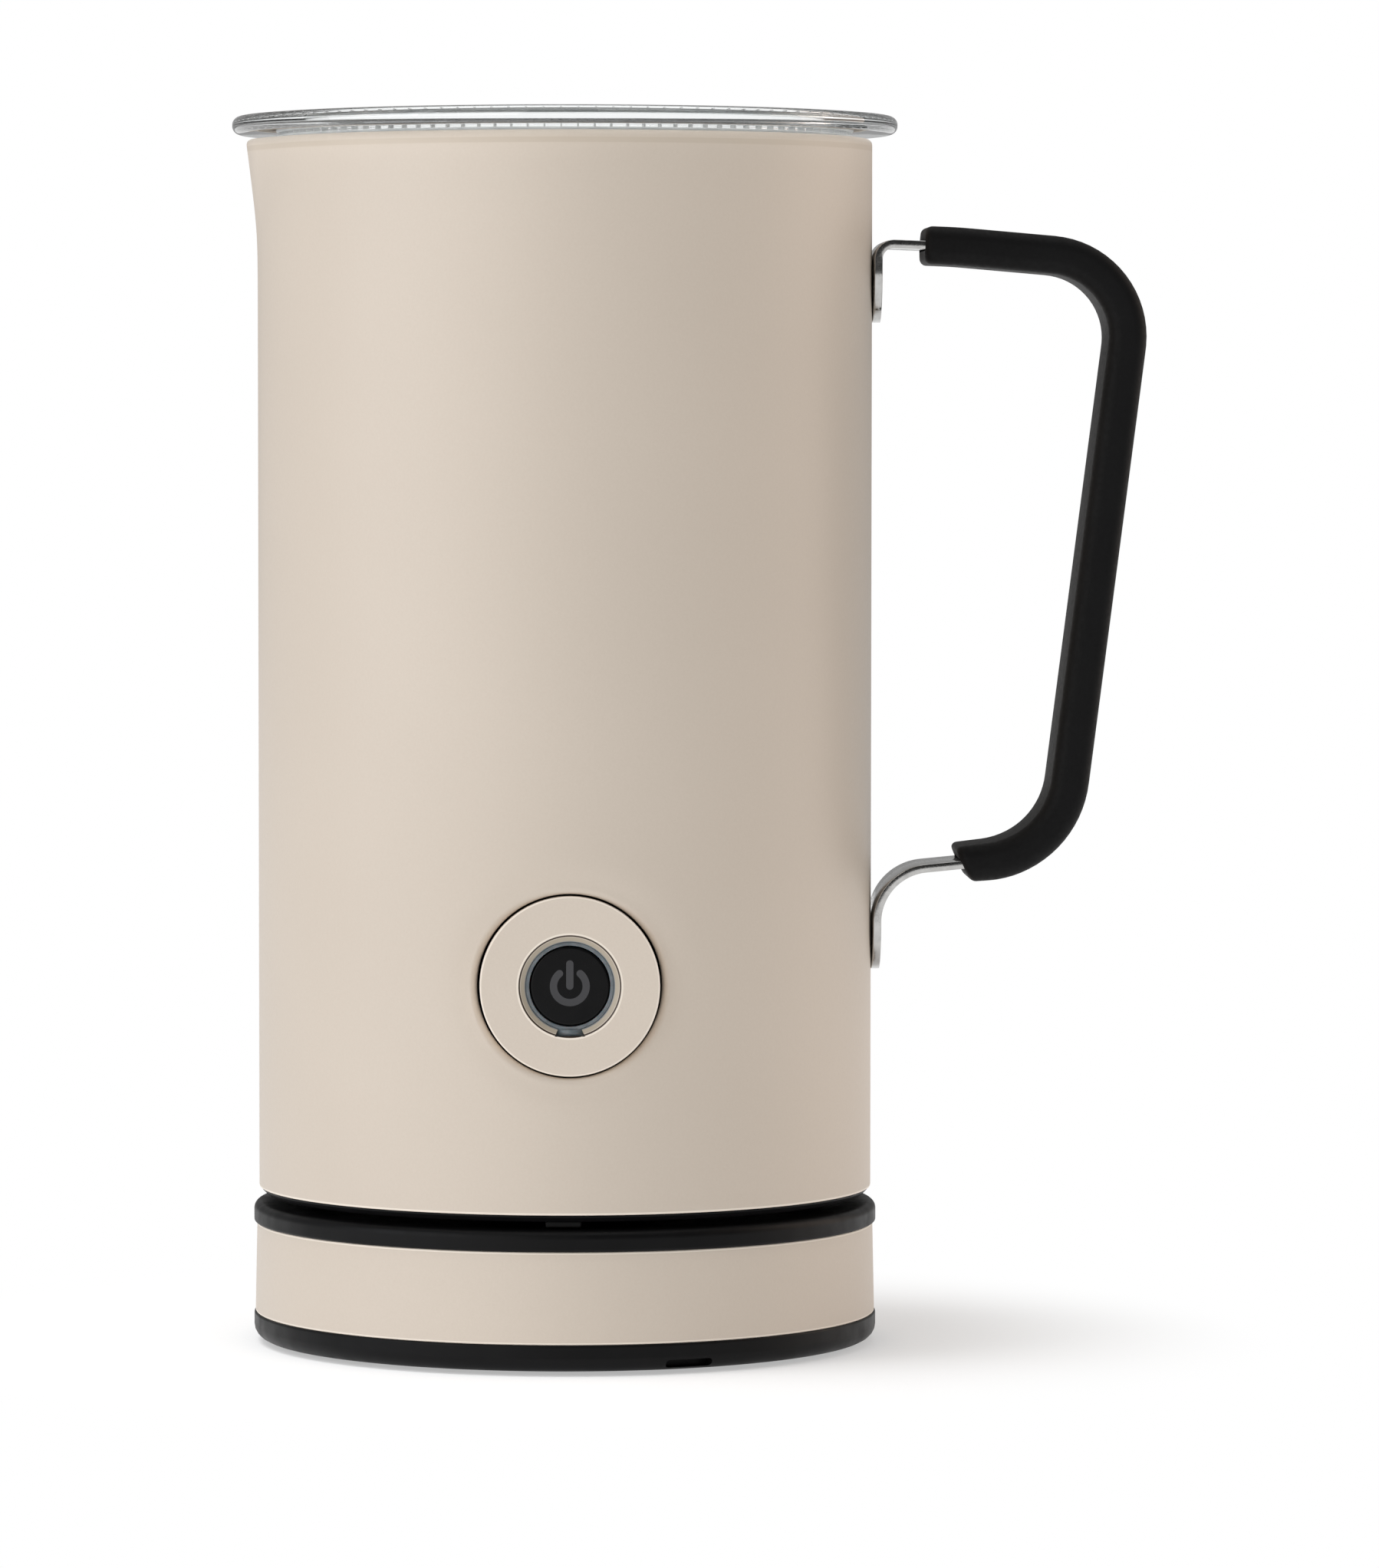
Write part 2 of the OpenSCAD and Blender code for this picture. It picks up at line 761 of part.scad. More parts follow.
module jug_bottom_cover() {
    lip_in_r = shell_in_r - cover_lip_t;
    color("#1c1c1d") difference() {
        rotate_extrude() polygon([
            [0, jug_z], [shell_r - 1.2, jug_z], [shell_r - 0.1, shell_z], [shell_in_r, shell_z],
            [shell_in_r, shell_z + cover_lip_h], [lip_in_r, shell_z + cover_lip_h],
            [lip_in_r, jug_floor_z], [0, jug_floor_z]
        ]);
        disc(socket_r, jug_z - eps, jug_floor_z + eps);
        around(column_circle_r, column_angles) {
            disc(screw_head_r + screw_play, jug_z - eps, jug_z + screw_head_h + 0.3);
            disc(screw_shank_r + screw_play, jug_z, jug_floor_z + eps);
        }
    }
}

module jug_connector() {
    flange_r = socket_r + 3;
    color("#2a2a2b") difference() {
        union() {
            disc(socket_r, jug_z, socket_roof_z + socket_roof_t);
            disc(flange_r, jug_floor_z, jug_floor_z + 2);
        }
        disc(socket_in_r, jug_z - eps, socket_roof_z);
    }
}

module jug_contacts() {
    blade_r = groove_r + (groove_w + blade_t) / 2;
    color("#d4b06a") {
        disc(pin_r, boss_top_z - pin_hole_depth + 0.8 + contact_gap, socket_roof_z);
        tube(blade_r, blade_r - blade_t, boss_top_z - groove_depth + 0.5 + contact_gap, socket_roof_z);
    }
}

module jug_pads() {
    color("#3d3d3e") around(shell_r - 1.4, turns(3, -91.2))
        translate([-4, -pad_w / 2, jug_z - pad_h]) cube([4, pad_w, pad_h]);
}

module jug_screws() {
    color("#9a9a98") around(column_circle_r, column_angles)
        translate([0, 0, jug_z + screw_head_h + 0.3]) screw();
}

module jug_wiring() {
    wire_r = 0.8;
    pin_angles = [element_mid_deg - element_gap_deg / 2 - 5, element_mid_deg + element_gap_deg / 2 + 5];
    color("#b03a2e") {
        around(element_r, pin_angles) disc(wire_r, board_top_z, pot_z - plate_t - element_h - 4);
        for (x = [-5, 5]) translate([x, 0, 0]) disc(wire_r, socket_roof_z + socket_roof_t, board_z);
        for (x = [-2, 2]) translate([x, 0, 0]) button_lead(wire_r, small_board_face - board_t, 28.5);
    }
}

// Wire from the button's board, and the sleeve that brings it down to the control board
module button_lead(r, y_from, y_to) {
    translate([0, -y_from, button_z]) rotate([-90, 0, 0]) cylinder(r = r, h = y_from - y_to);
    translate([0, -y_to, 0]) disc(r + 0.3, board_top_z, button_z + 1.5);
}

// ---- Handle ----

// Flat strap with round-ended feet, welded where it meets the round wall
module handle_strap() {
    color("#c6c6c4") difference() {
        strip(strap_path, strap_t, strap_w);
        foot_end(foot_top_z);
        foot_end(foot_low_z);
    }
}

// What is cut from a foot to leave a round end of the strap's width
module foot_end(z) {
    r = strap_w / 2;
    translate([strap_x - strap_t, 0, z + r]) rotate([90, 0, 90]) linear_extrude(2 * strap_t)
        polygon(concat([[r + 1, 0], [r + 1, -r - 1], [-r - 1, -r - 1], [-r - 1, 0]],
            [for (a = [180:bend_step:360]) r * [cos(a), sin(a)]]));
}

// Sleeve over the strap, closed to its surface
module handle_grip() {
    color("#222223") difference() {
        strip(grip_path, grip_t, grip_w);
        strip(strap_path, strap_t, strap_w);
    }
}

// ---- Rotor ----

module motor_shaft() {
    color("#cfcfcf") disc(shaft_r, can_z - 2, rotor_z + 3);
}

module armature() {
    color("#9c5f36") tube(armature_r, shaft_r, can_z + 5, bracket_z - 4);
}

module rotor_disc() {
    color("#e4e0d4") difference() {
        union() {
            disc(hub_d / 2, rotor_z, rotor_top_z);
            disc(shaft_r + 2.5, rotor_z - 2.5, rotor_z + eps);
        }
        disc(shaft_r, rotor_z - 3, rotor_z + 3);
        around(magnet_circle_r, turns(magnet_count))
            disc(magnet_d / 2, rotor_top_z - magnet_t, rotor_top_z + eps);
    }
}

module drive_magnets() {
    color("#8f9194") around(magnet_circle_r, turns(magnet_count))
        disc(magnet_d / 2, rotor_top_z - magnet_t, rotor_top_z);
}

// ---- Whisk ----

module whisk_hub() {
    color("#2a2a2b") difference() {
        union() {
            disc(hub_r + 2, hub_z, hub_z + 3);
            disc(hub_r, hub_z, hub_z + hub_t);
        }
        disc(post_d / 2 + running, hub_z - eps, hub_z + hub_t + eps);
        around(magnet_circle_r - 0.5, turns(magnet_count)) disc(magnet_d / 2 - 0.5, hub_z - eps, hub_z + magnet_t);
    }
}

module whisk_magnets() {
    color("#8f9194") around(magnet_circle_r - 0.5, turns(magnet_count))
        disc(magnet_d / 2 - 0.5, hub_z, hub_z + magnet_t);
}

module whisk_frame() {
    color("#d0d0ce") {
        rotate_extrude() translate([whisk_r, ring_z]) circle(r = ring_wire_r);
        around(hub_r - spoke_seat, turns(4, 45)) translate([0, 0, ring_z]) rotate([0, 90, 0])
            cylinder(r = spoke_r, h = whisk_r - hub_r + spoke_seat);
    }
}

// The coil's turns, threaded on the ring
module whisk_coil() {
    step = 360 / coil_turns;
    color("#d8d8d6") around(whisk_r, turns(coil_turns, 45 + step / 2)) translate([0, 0, ring_z])
        rotate([90, 0, 0]) rotate_extrude() translate([coil_r, 0]) circle(r = coil_wire_r, $fn = 24);
}

// ---- Lid ----

module lid_cover() {
    edge_r = lid_t / 2;
    plug_r = pot_in_r - 2.9;
    dish_t = 2;
    color("#e9ecee", 0.5) rotate_extrude() {
        square_from(plug_r - plug_t, lid_z, lid_r - edge_r, lid_top_z);
        translate([lid_r - edge_r, lid_z + edge_r]) circle(r = edge_r);
        square_from(plug_r - plug_t, lid_z - plug_h, plug_r, lid_z + eps);
        square_from(0, lid_z - plug_h, plug_r - plug_t + eps, lid_z - plug_h + dish_t);
    }
}

module lid_seal() {
    plug_r = pot_in_r - 2.9;
    lip_r = pot_in_r - clear;
    color("#d9dadb") rotate_extrude() {
        square_from(plug_r, lid_z - plug_h + 1, plug_r + 1.2, lid_z);
        for (z = [lid_z - plug_h + 2.2, lid_z - plug_h + 5.4]) square_from(plug_r + 1, z, lip_r, z + 1);
        square_from(plug_r + 1, lid_z - 1.8, lip_r, lid_z);
    }
}

// ---- Button ----

module button_cap() {
    color("#161617") at_front() difference() {
        union() {
            disc(cap_r, cap_back, cap_face);
            disc(cap_flange_r, cap_back, cap_flange_front);
            disc(2, stem_tip, cap_back + eps);
        }
        power_mark(cap_face - symbol_depth, cap_face + eps);
    }
}

// Power symbol between two depths: an open ring and a bar, with round ends
module power_mark(z0, z1) {
    mid_r = symbol_r - symbol_w / 2;
    rotate([0, 0, 90 + symbol_open_deg]) translate([0, 0, z0])
        rotate_extrude(angle = 360 - 2 * symbol_open_deg)
            square_from(mid_r - symbol_w / 2, 0, mid_r + symbol_w / 2, z1 - z0);
    around(mid_r, [90 - symbol_open_deg, 90 + symbol_open_deg]) disc(symbol_w / 2, z0, z1);
    translate([-symbol_w / 2, symbol_w / 2 - symbol_bar_low, z0])
        cube([symbol_w, symbol_bar_top + symbol_bar_low - symbol_w, z1 - z0]);
    for (y = [symbol_w / 2 - symbol_bar_low, symbol_bar_top - symbol_w / 2])
        translate([0, y, 0]) disc(symbol_w / 2, z0, z1);
}

module power_symbol() {
    color("#5a5a5c") at_front() power_mark(cap_face - symbol_depth, cap_face);
}

base_bottom_cover();
base_band();
base_top_cover();
base_connector();
base_contacts();
rubber_feet();
base_screws();
cord_gland();
base_leads();
outer_shell();
inner_pot();
rim_gasket();
whisk_post();
heat_plate();
heating_element();
temperature_sensor();
thermal_fuse();
chassis();
motor_bracket();
motor_can();
stator_magnets();
motor_bushes();
control_board();
board_components();
button_housing();
button_board();
tact_switch();
status_leds();
light_ring();
button_bezel();
jug_bottom_cover();
jug_connector();
jug_contacts();
jug_pads();
jug_screws();
jug_wiring();
handle_strap();
handle_grip();
motor_shaft();
armature();
rotor_disc();
drive_magnets();
whisk_hub();
whisk_magnets();
whisk_frame();
whisk_coil();
lid_cover();
lid_seal();
button_cap();
power_symbol();
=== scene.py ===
import json
import math

import bmesh
import bpy
from mathutils import Matrix, Vector


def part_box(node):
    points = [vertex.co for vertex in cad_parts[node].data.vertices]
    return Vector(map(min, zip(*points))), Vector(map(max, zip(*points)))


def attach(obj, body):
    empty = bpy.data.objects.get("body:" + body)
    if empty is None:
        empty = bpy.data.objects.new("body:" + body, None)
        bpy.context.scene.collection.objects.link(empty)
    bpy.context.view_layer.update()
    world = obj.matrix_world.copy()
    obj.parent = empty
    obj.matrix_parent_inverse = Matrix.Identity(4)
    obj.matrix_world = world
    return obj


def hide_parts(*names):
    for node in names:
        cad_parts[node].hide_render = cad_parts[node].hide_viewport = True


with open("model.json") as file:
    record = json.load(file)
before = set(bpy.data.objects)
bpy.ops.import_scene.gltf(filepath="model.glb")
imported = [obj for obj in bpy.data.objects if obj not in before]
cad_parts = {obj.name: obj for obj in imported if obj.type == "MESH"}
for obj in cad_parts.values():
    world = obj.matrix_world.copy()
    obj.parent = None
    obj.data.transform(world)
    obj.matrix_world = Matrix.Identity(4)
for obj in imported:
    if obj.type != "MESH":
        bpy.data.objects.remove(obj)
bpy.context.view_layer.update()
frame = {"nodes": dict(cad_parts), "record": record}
mm = 0.001
print("frame loaded:", len(frame["nodes"]), "nodes")

# places taken from the CAD frame, in millimetres

def boxOf(node):
    low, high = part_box(node)
    return low / mm, high / mm

shellLow, shellHigh = boxOf("outer_shell")
potLow, potHigh = boxOf("inner_pot")
lidLow, lidHigh = boxOf("lid_cover")
sealLow, sealHigh = boxOf("lid_seal")
bandLow, bandHigh = boxOf("base_band")
topCoverLow, topCoverHigh = boxOf("base_top_cover")
lowCoverLow, lowCoverHigh = boxOf("base_bottom_cover")
jugFloorLow, jugFloorHigh = boxOf("jug_bottom_cover")
bezelLow, bezelHigh = boxOf("button_bezel")
capLow, capHigh = boxOf("button_cap")
guideLow, guideHigh = boxOf("light_ring")
symbolLow, symbolHigh = boxOf("power_symbol")
gasketLow, gasketHigh = boxOf("rim_gasket")
coilLow, coilHigh = boxOf("whisk_coil")
wireLow, wireHigh = boxOf("whisk_frame")

shellR = shellHigh.y
rimZ = shellHigh.z
buttonZ = (bezelLow.z + bezelHigh.z) / 2
boreR = (capHigh.x - capLow.x) / 2


# camera, light and floor

view = {
    "distance": 1254.2, "height": 153.1, "azimuth": 0.92, "pitch": 2.837,
    "lens": 176.43, "shiftX": 0.0795,
}

def makeCamera():
    az, pitch = math.radians(view["azimuth"]), math.radians(view["pitch"])
    data = bpy.data.cameras.new("camera")
    data.lens = view["lens"]
    data.sensor_width = 36
    data.shift_x = view["shiftX"]
    data.clip_end = 20
    camera = bpy.data.objects.new("camera", data)
    bpy.context.scene.collection.objects.link(camera)
    camera.location = Vector((-math.sin(az), -math.cos(az), 0)) * view["distance"] * mm
    camera.location.z = view["height"] * mm
    look = Vector((math.sin(az) * math.cos(pitch), math.cos(az) * math.cos(pitch), -math.sin(pitch)))
    camera.rotation_euler = look.to_track_quat("-Z", "Y").to_euler()
    bpy.context.scene.camera = camera

makeCamera()


# materials

def linear(code, alpha=1.0):
    code = code.lstrip("#")
    parts = [int(code[i:i + 2], 16) / 255 for i in (0, 2, 4)]
    return tuple(c / 12.92 if c <= 0.04045 else ((c + 0.055) / 1.055) ** 2.4 for c in parts) + (alpha,)

def node(tree, kind, settings=None, inputs=None):
    # one node, its settings, and its inputs as values or as the sockets that feed them
    made = tree.nodes.new(kind)
    for key, value in (settings or {}).items():
        setattr(made, key, value)
    for key, value in (inputs or {}).items():
        if isinstance(value, bpy.types.NodeSocket):
            tree.links.new(value, made.inputs[key])
        else:
            made.inputs[key].default_value = value
    return made

def newMaterial(name, colour, roughness, metallic=0.0, **more):
    material = bpy.data.materials.new(name)
    material.use_nodes = True
    shader = material.node_tree.nodes["Principled BSDF"]
    shader.inputs["Base Color"].default_value = linear(colour)
    shader.inputs["Roughness"].default_value = roughness
    shader.inputs["Metallic"].default_value = metallic
    for key, value in more.items():
        shader.inputs[key.replace("_", " ")].default_value = value
    return material, material.node_tree, shader

def objectPlace(tree, scale=(1, 1, 1)):
    place = node(tree, "ShaderNodeTexCoord").outputs["Object"]
    return node(tree, "ShaderNodeMapping", inputs={"Vector": place, "Scale": scale}).outputs[0]

def noise(tree, grainMm, detail=2.0, stretch=(1, 1, 1), rough=0.5):
    # grainMm is the size of one grain, so the scale is grains per metre
    return node(tree, "ShaderNodeTexNoise", inputs={
        "Vector": objectPlace(tree, stretch), "Scale": 1000 / grainMm, "Detail": detail, "Roughness": rough,
    }).outputs["Fac"]

def mapped(tree, value, fromLow, fromHigh, toLow, toHigh):
    return node(tree, "ShaderNodeMapRange", inputs={
        "Value": value, "From Min": fromLow, "From Max": fromHigh, "To Min": toLow, "To Max": toHigh,
    }).outputs[0]

def maths(tree, operation, a, b=None):
    inputs = {0: a}
    if b is not None:
        inputs[1] = b
    return node(tree, "ShaderNodeMath", {"operation": operation}, inputs).outputs[0]

def blended(tree, factor, first, second):
    mix = node(tree, "ShaderNodeMix", {"data_type": "RGBA"}, {"Factor": factor})
    for socket, value in (("A_Color", first), ("B_Color", second)):
        target = next(s for s in mix.inputs if s.identifier == socket)
        if isinstance(value, bpy.types.NodeSocket):
            tree.links.new(value, target)
        else:
            target.default_value = value
    return next(s for s in mix.outputs if s.identifier == "Result_Color")

def bump(tree, shader, height, depthMm, strength=1.0, normal=None):
    inputs = {"Height": height, "Distance": depthMm * mm, "Strength": strength}
    if normal:
        inputs["Normal"] = normal
    made = node(tree, "ShaderNodeBump", inputs=inputs)
    tree.links.new(made.outputs[0], shader.inputs["Normal"])
    return made.outputs[0]

def banded(tree, value, base, bands):
    # lines of another colour where the value, in metres, is near a place
    # each band is (place, half width, colour), in millimetres
    for place, half, colour in bands:
        off = maths(tree, "ABSOLUTE", maths(tree, "SUBTRACT", value, place * mm))
        base = blended(tree, mapped(tree, off, half * 0.7 * mm, half * mm, 1.0, 0.0), base, linear(colour))
    return base

def powderCoat(name, light, dark, levels=(), rings=()):
    # polyester powder coat, sprayed and baked: satin, with a faint orange peel and fine speckle
    # bands and rings of another colour are painted light and shade: paler painted highlights on edges, darker
    # painted shade below the rim and in the button's mouth
    material, tree, shader = newMaterial(name, light, 0.46, Coat_Weight=0.05, Coat_Roughness=0.3)
    patches = mapped(tree, noise(tree, 38, 1.5), 0.35, 0.65, 0.0, 1.0)
    speckle = mapped(tree, noise(tree, 0.35, 2.0), 0.3, 0.7, 0.0, 0.09)
    base = blended(tree, patches, linear(light), linear(dark))
    base = blended(tree, speckle, base, linear("#B7A896"))
    axes = node(tree, "ShaderNodeSeparateXYZ", inputs={0: objectPlace(tree)})
    base = banded(tree, axes.outputs["Z"], base, levels)
    if rings:
        rise = maths(tree, "SUBTRACT", axes.outputs["Z"], buttonZ * mm)
        flat = node(tree, "ShaderNodeCombineXYZ", inputs={"X": axes.outputs["X"], "Y": rise})
        away = node(tree, "ShaderNodeVectorMath", {"operation": "LENGTH"}, {0: flat.outputs[0]})
        base = banded(tree, away.outputs["Value"], base, rings)
    tree.links.new(base, shader.inputs["Base Color"])
    tree.links.new(mapped(tree, noise(tree, 0.6, 2.0), 0.3, 0.7, 0.42, 0.5), shader.inputs["Roughness"])
    peel = bump(tree, shader, noise(tree, 1.6, 2.0), 0.006)
    bump(tree, shader, noise(tree, 0.25, 1.0), 0.0015, normal=peel)
    return material

def mouldedPlastic(name, colour, worn, roughness, grainMm=0.35, depthMm=0.004):
    # injection-moulded ABS with a spark-eroded texture, a little lighter and smoother where it is handled
    material, tree, shader = newMaterial(name, colour, roughness, Specular_IOR_Level=0.14)
    wear = mapped(tree, noise(tree, 9, 3.0), 0.45, 0.75, 0.0, 0.35)
    tree.links.new(blended(tree, wear, linear(colour), linear(worn)), shader.inputs["Base Color"])
    worked = mapped(tree, noise(tree, 4, 3.0), 0.3, 0.7, roughness - 0.05, roughness + 0.07)
    tree.links.new(worked, shader.inputs["Roughness"])
    bump(tree, shader, noise(tree, grainMm, 2.0), depthMm)
    return material

def softGrip(name):
    # thermoplastic rubber sleeve with a fine matt grain
    material, tree, shader = newMaterial(
        name, "#0A0A0B", 0.62, Specular_IOR_Level=0.17, Sheen_Weight=0.02, Sheen_Roughness=0.5)
    dust = mapped(tree, noise(tree, 6, 3.0), 0.4, 0.75, 0.0, 0.5)
    tree.links.new(blended(tree, dust, linear("#0B0B0C"), linear("#111112")), shader.inputs["Base Color"])
    tree.links.new(mapped(tree, noise(tree, 0.8, 2.0), 0.3, 0.7, 0.55, 0.68), shader.inputs["Roughness"])
    bump(tree, shader, noise(tree, 0.3, 2.0), 0.012)
    return material

def brushedSteel(name, stretch, colour="#C9C8C6", roughness=0.24, depthMm=0.004):
    # cold-rolled 304 stainless, belt brushed along the strip: long fine scratches
    material, tree, shader = newMaterial(name, colour, roughness, 1.0)
    lines = noise(tree, 0.14, 3.0, stretch, 0.65)
    streaks = mapped(tree, noise(tree, 1.1, 2.0, stretch), 0.3, 0.7, 0.0, 1.0)
    tree.links.new(blended(tree, streaks, linear(colour), linear("#B4B3B1")), shader.inputs["Base Color"])
    worked = mapped(tree, lines, 0.3, 0.7, roughness - 0.07, roughness + 0.1)
    tree.links.new(worked, shader.inputs["Roughness"])
    bump(tree, shader, lines, depthMm)
    return material

def clearPlastic(name):
    # moulded clear copolyester: flow lines and hairline scratches in a polished surface
    material, tree, shader = newMaterial(name, "#F7F9F9", 0.02, IOR=1.52)
    shader.inputs["Transmission Weight"].default_value = 1.0
    scratches = noise(tree, 0.5, 2.0, (1, 1, 6))
    tree.links.new(mapped(tree, scratches, 0.5, 0.85, 0.012, 0.035), shader.inputs["Roughness"])
    bump(tree, shader, noise(tree, 9, 1.0, (1, 1, 3)), 0.006)
    return material

def siliconeRubber(name, colour, pale):
    # moulded platinum silicone: milky and slightly see-through, with a dry sheen
    material, tree, shader = newMaterial(name, colour, 0.42, Subsurface_Weight=0.25)
    shader.inputs["Subsurface Radius"].default_value = (1.0, 1.0, 1.0)
    shader.inputs["Subsurface Scale"].default_value = 0.0015
    cloud = mapped(tree, noise(tree, 5, 2.0), 0.35, 0.7, 0, 1)
    tree.links.new(blended(tree, cloud, linear(colour), linear(pale)), shader.inputs["Base Color"])
    bump(tree, shader, noise(tree, 0.5, 2.0), 0.004)
    return material

def glossPlastic(name, colour, shine, roughness=0.16, mirror=0.5):
    # polished moulded acrylic or ABS: nearly even, with faint haze
    material, tree, shader = newMaterial(name, colour, roughness, Specular_IOR_Level=mirror)
    haze = mapped(tree, noise(tree, 2.5, 3.0), 0.35, 0.7, 0.0, 1.0)
    tree.links.new(blended(tree, haze, linear(colour), linear(shine)), shader.inputs["Base Color"])
    worked = mapped(tree, noise(tree, 1.2, 2.0), 0.3, 0.7, roughness - 0.04, roughness + 0.06)
    tree.links.new(worked, shader.inputs["Roughness"])
    bump(tree, shader, noise(tree, 0.8, 1.0), 0.001)
    return material

def frostedGuide(name):
    # etched polycarbonate light guide: blue-grey when dark
    material, tree, shader = newMaterial(name, "#6A7074", 0.38, IOR=1.58, Subsurface_Weight=0.3)
    shader.inputs["Subsurface Scale"].default_value = 0.001
    frost = mapped(tree, noise(tree, 1.5, 2.0), 0.35, 0.7, 0, 1)
    tree.links.new(blended(tree, frost, linear("#5F676C"), linear("#757C80")), shader.inputs["Base Color"])
    bump(tree, shader, noise(tree, 0.2, 1.0), 0.002)
    return material

def plainMetal(name, colour, dull, roughness, stretch=(1, 1, 1), grainMm=0.4, depthMm=0.004):
    # turned, plated or cast metal with fine tool marks and duller patches
    material, tree, shader = newMaterial(name, colour, roughness, 1.0)
    patches = mapped(tree, noise(tree, 3, 3.0), 0.4, 0.7, 0.0, 1.0)
    tree.links.new(blended(tree, patches, linear(colour), linear(dull)), shader.inputs["Base Color"])
    tree.links.new(mapped(tree, noise(tree, 1.2, 3.0, stretch), 0.3, 0.7, roughness - 0.08, roughness + 0.12),
                   shader.inputs["Roughness"])
    bump(tree, shader, noise(tree, grainMm, 3.0, stretch), depthMm)
    return material

def solderMask(name):
    # glass-epoxy board under green solder mask, with copper tracks showing as lighter lines
    material, tree, shader = newMaterial(name, "#1F5A34", 0.32)
    weave = node(tree, "ShaderNodeTexBrick", {"offset": 0.5}, {
        "Vector": objectPlace(tree), "Scale": 1.0,
        "Brick Width": 4.2 * mm, "Row Height": 2.1 * mm, "Mortar Size": 0.25 * mm,
        "Color1": linear("#1D5631"), "Color2": linear("#22613A"), "Mortar": linear("#2F7A4B"),
    })
    tree.links.new(weave.outputs["Color"], shader.inputs["Base Color"])
    bump(tree, shader, weave.outputs["Fac"], 0.03)
    return material

def copperWinding(name):
    # enamelled copper wire wound side by side
    material, tree, shader = newMaterial(name, "#B0592B", 0.3, 1.0)
    turns = node(tree, "ShaderNodeTexWave", {"wave_type": "BANDS", "bands_direction": "Z"}, {
        "Vector": objectPlace(tree), "Scale": 1000 / 0.7 / 6.28, "Distortion": 0.3,
    }).outputs["Fac"]
    tree.links.new(blended(tree, turns, linear("#7C3A1C"), linear("#C26B38")), shader.inputs["Base Color"])
    bump(tree, shader, turns, 0.15)
    return material

paintedHighlight = "#F1E6D8"
# painted highlights: pale bands on the shell's foot and on the band's lower and upper edges; painted shade: a
# darker band just below the rolled rim
coat = powderCoat("satin powder coat beige", "#D3C7B9", "#D1C5B7", levels=[
    (shellLow.z + 0.1, 0.3, paintedHighlight), (rimZ - 1.6, 0.5, "#C9BCAC"),
    (bandLow.z + 0.1, 0.3, paintedHighlight), (bandHigh.z - 0.1, 0.32, paintedHighlight),
])
bezelR = (bezelHigh.x - bezelLow.x) / 2
# rings round the button: painted highlights on the bezel's outer edge and the mouth's chamfer, a thin dark line
# of painted shade at the mouth's edge, painted shade on the mouth's bevel, and a blue-grey line at the bore's
# edge
bezelCoat = powderCoat("satin powder coat bezel", "#DBCFC1", "#D9CDBF", rings=[
    (bezelR - 0.05, 0.24, paintedHighlight), (8.22, 0.22, paintedHighlight),
    (7.98, 0.15, "#3E3024"), (7.42, 0.42, "#B0A593"), (7.02, 0.14, "#7E8284"),
])
coverBlack = mouldedPlastic("moulded ABS black", "#0D0D0E", "#131314", 0.42)
gripBlack = softGrip("soft rubber black")
strapSteel = brushedSteel("satin stainless strap", (1, 0.04, 1), "#C4C3C1", 0.13, 0.0006)
potSteel = brushedSteel("brushed stainless pot", (0.05, 0.05, 1), "#CBCAC7", 0.28)
wireSteel = plainMetal("drawn stainless wire", "#D2D1CE", "#B9B8B5", 0.2)
lidClear = clearPlastic("clear copolyester")
sealPale = siliconeRubber("silicone pale grey", "#C9CBCB", "#DADBDA")
sealDark = siliconeRubber("silicone dark grey", "#2B2B2C", "#3A3A3B")
capBlack = glossPlastic("polished ABS black", "#0A0A0B", "#0D0D0E", 0.3, 0.16)
symbolGrey = mouldedPlastic("pad-printed grey ink", "#464648", "#4F4F51", 0.45, 0.3, 0.001)
guideGrey = frostedGuide("frosted light guide")
bareRubber = mouldedPlastic("moulded rubber black", "#141414", "#1F1F1F", 0.68, 0.5, 0.01)
brass = plainMetal("nickel brass contact", "#C8A35C", "#9E7C3E", 0.25)
bronze = plainMetal("sintered bronze", "#A5793F", "#83602F", 0.45, grainMm=0.25, depthMm=0.01)
zinc = plainMetal("zinc-plated steel", "#B4B4B2", "#8F908E", 0.3)
aluminium = plainMetal("raw aluminium", "#C4C5C6", "#A6A7A8", 0.38, (1, 0.1, 1))
sheath = plainMetal("oxidised element sheath", "#7D7B78", "#5C5A57", 0.5)
nickel = plainMetal("nickel-plated magnet", "#BFC1C3", "#A3A5A7", 0.16)
ferrite = mouldedPlastic("sintered ferrite", "#2A2A2C", "#3A3A3C", 0.6, 0.2, 0.01)
copper = copperWinding("enamelled copper")
board = solderMask("green circuit board")
component = mouldedPlastic("epoxy-moulded component", "#26292C", "#34383C", 0.5)
greyNylon = mouldedPlastic("glass-filled nylon grey", "#B9B9B4", "#A7A7A2", 0.5, 0.6, 0.01)
whiteNylon = mouldedPlastic("acetal white", "#DDD9CF", "#CBC7BC", 0.38, 0.6, 0.003)
redWire = glossPlastic("silicone lead red", "#A6352A", "#B84437", 0.4)
brownWire = glossPlastic("PVC lead brown", "#6B4026", "#7A4C30", 0.4)
print("materials made")


# mesh helpers

def makeObject(name, verts, faces, material, smooth=True, outward=True):
    mesh = bpy.data.meshes.new(name)
    mesh.from_pydata([Vector(v) * mm for v in verts], [], faces)
    if outward:
        work = bmesh.new()
        work.from_mesh(mesh)
        bmesh.ops.remove_doubles(work, verts=work.verts, dist=1e-6)
        bmesh.ops.recalc_face_normals(work, faces=work.faces)
        work.to_mesh(mesh)
        work.free()
    mesh.polygons.foreach_set("use_smooth", [smooth] * len(mesh.polygons))
    piece = bpy.data.objects.new(name, mesh)
    bpy.context.scene.collection.objects.link(piece)
    mesh.materials.append(material)
    return piece

def finish(piece, body, slot, *nodes):
    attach(piece, body)
    if nodes:
        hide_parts(*nodes)
    return piece

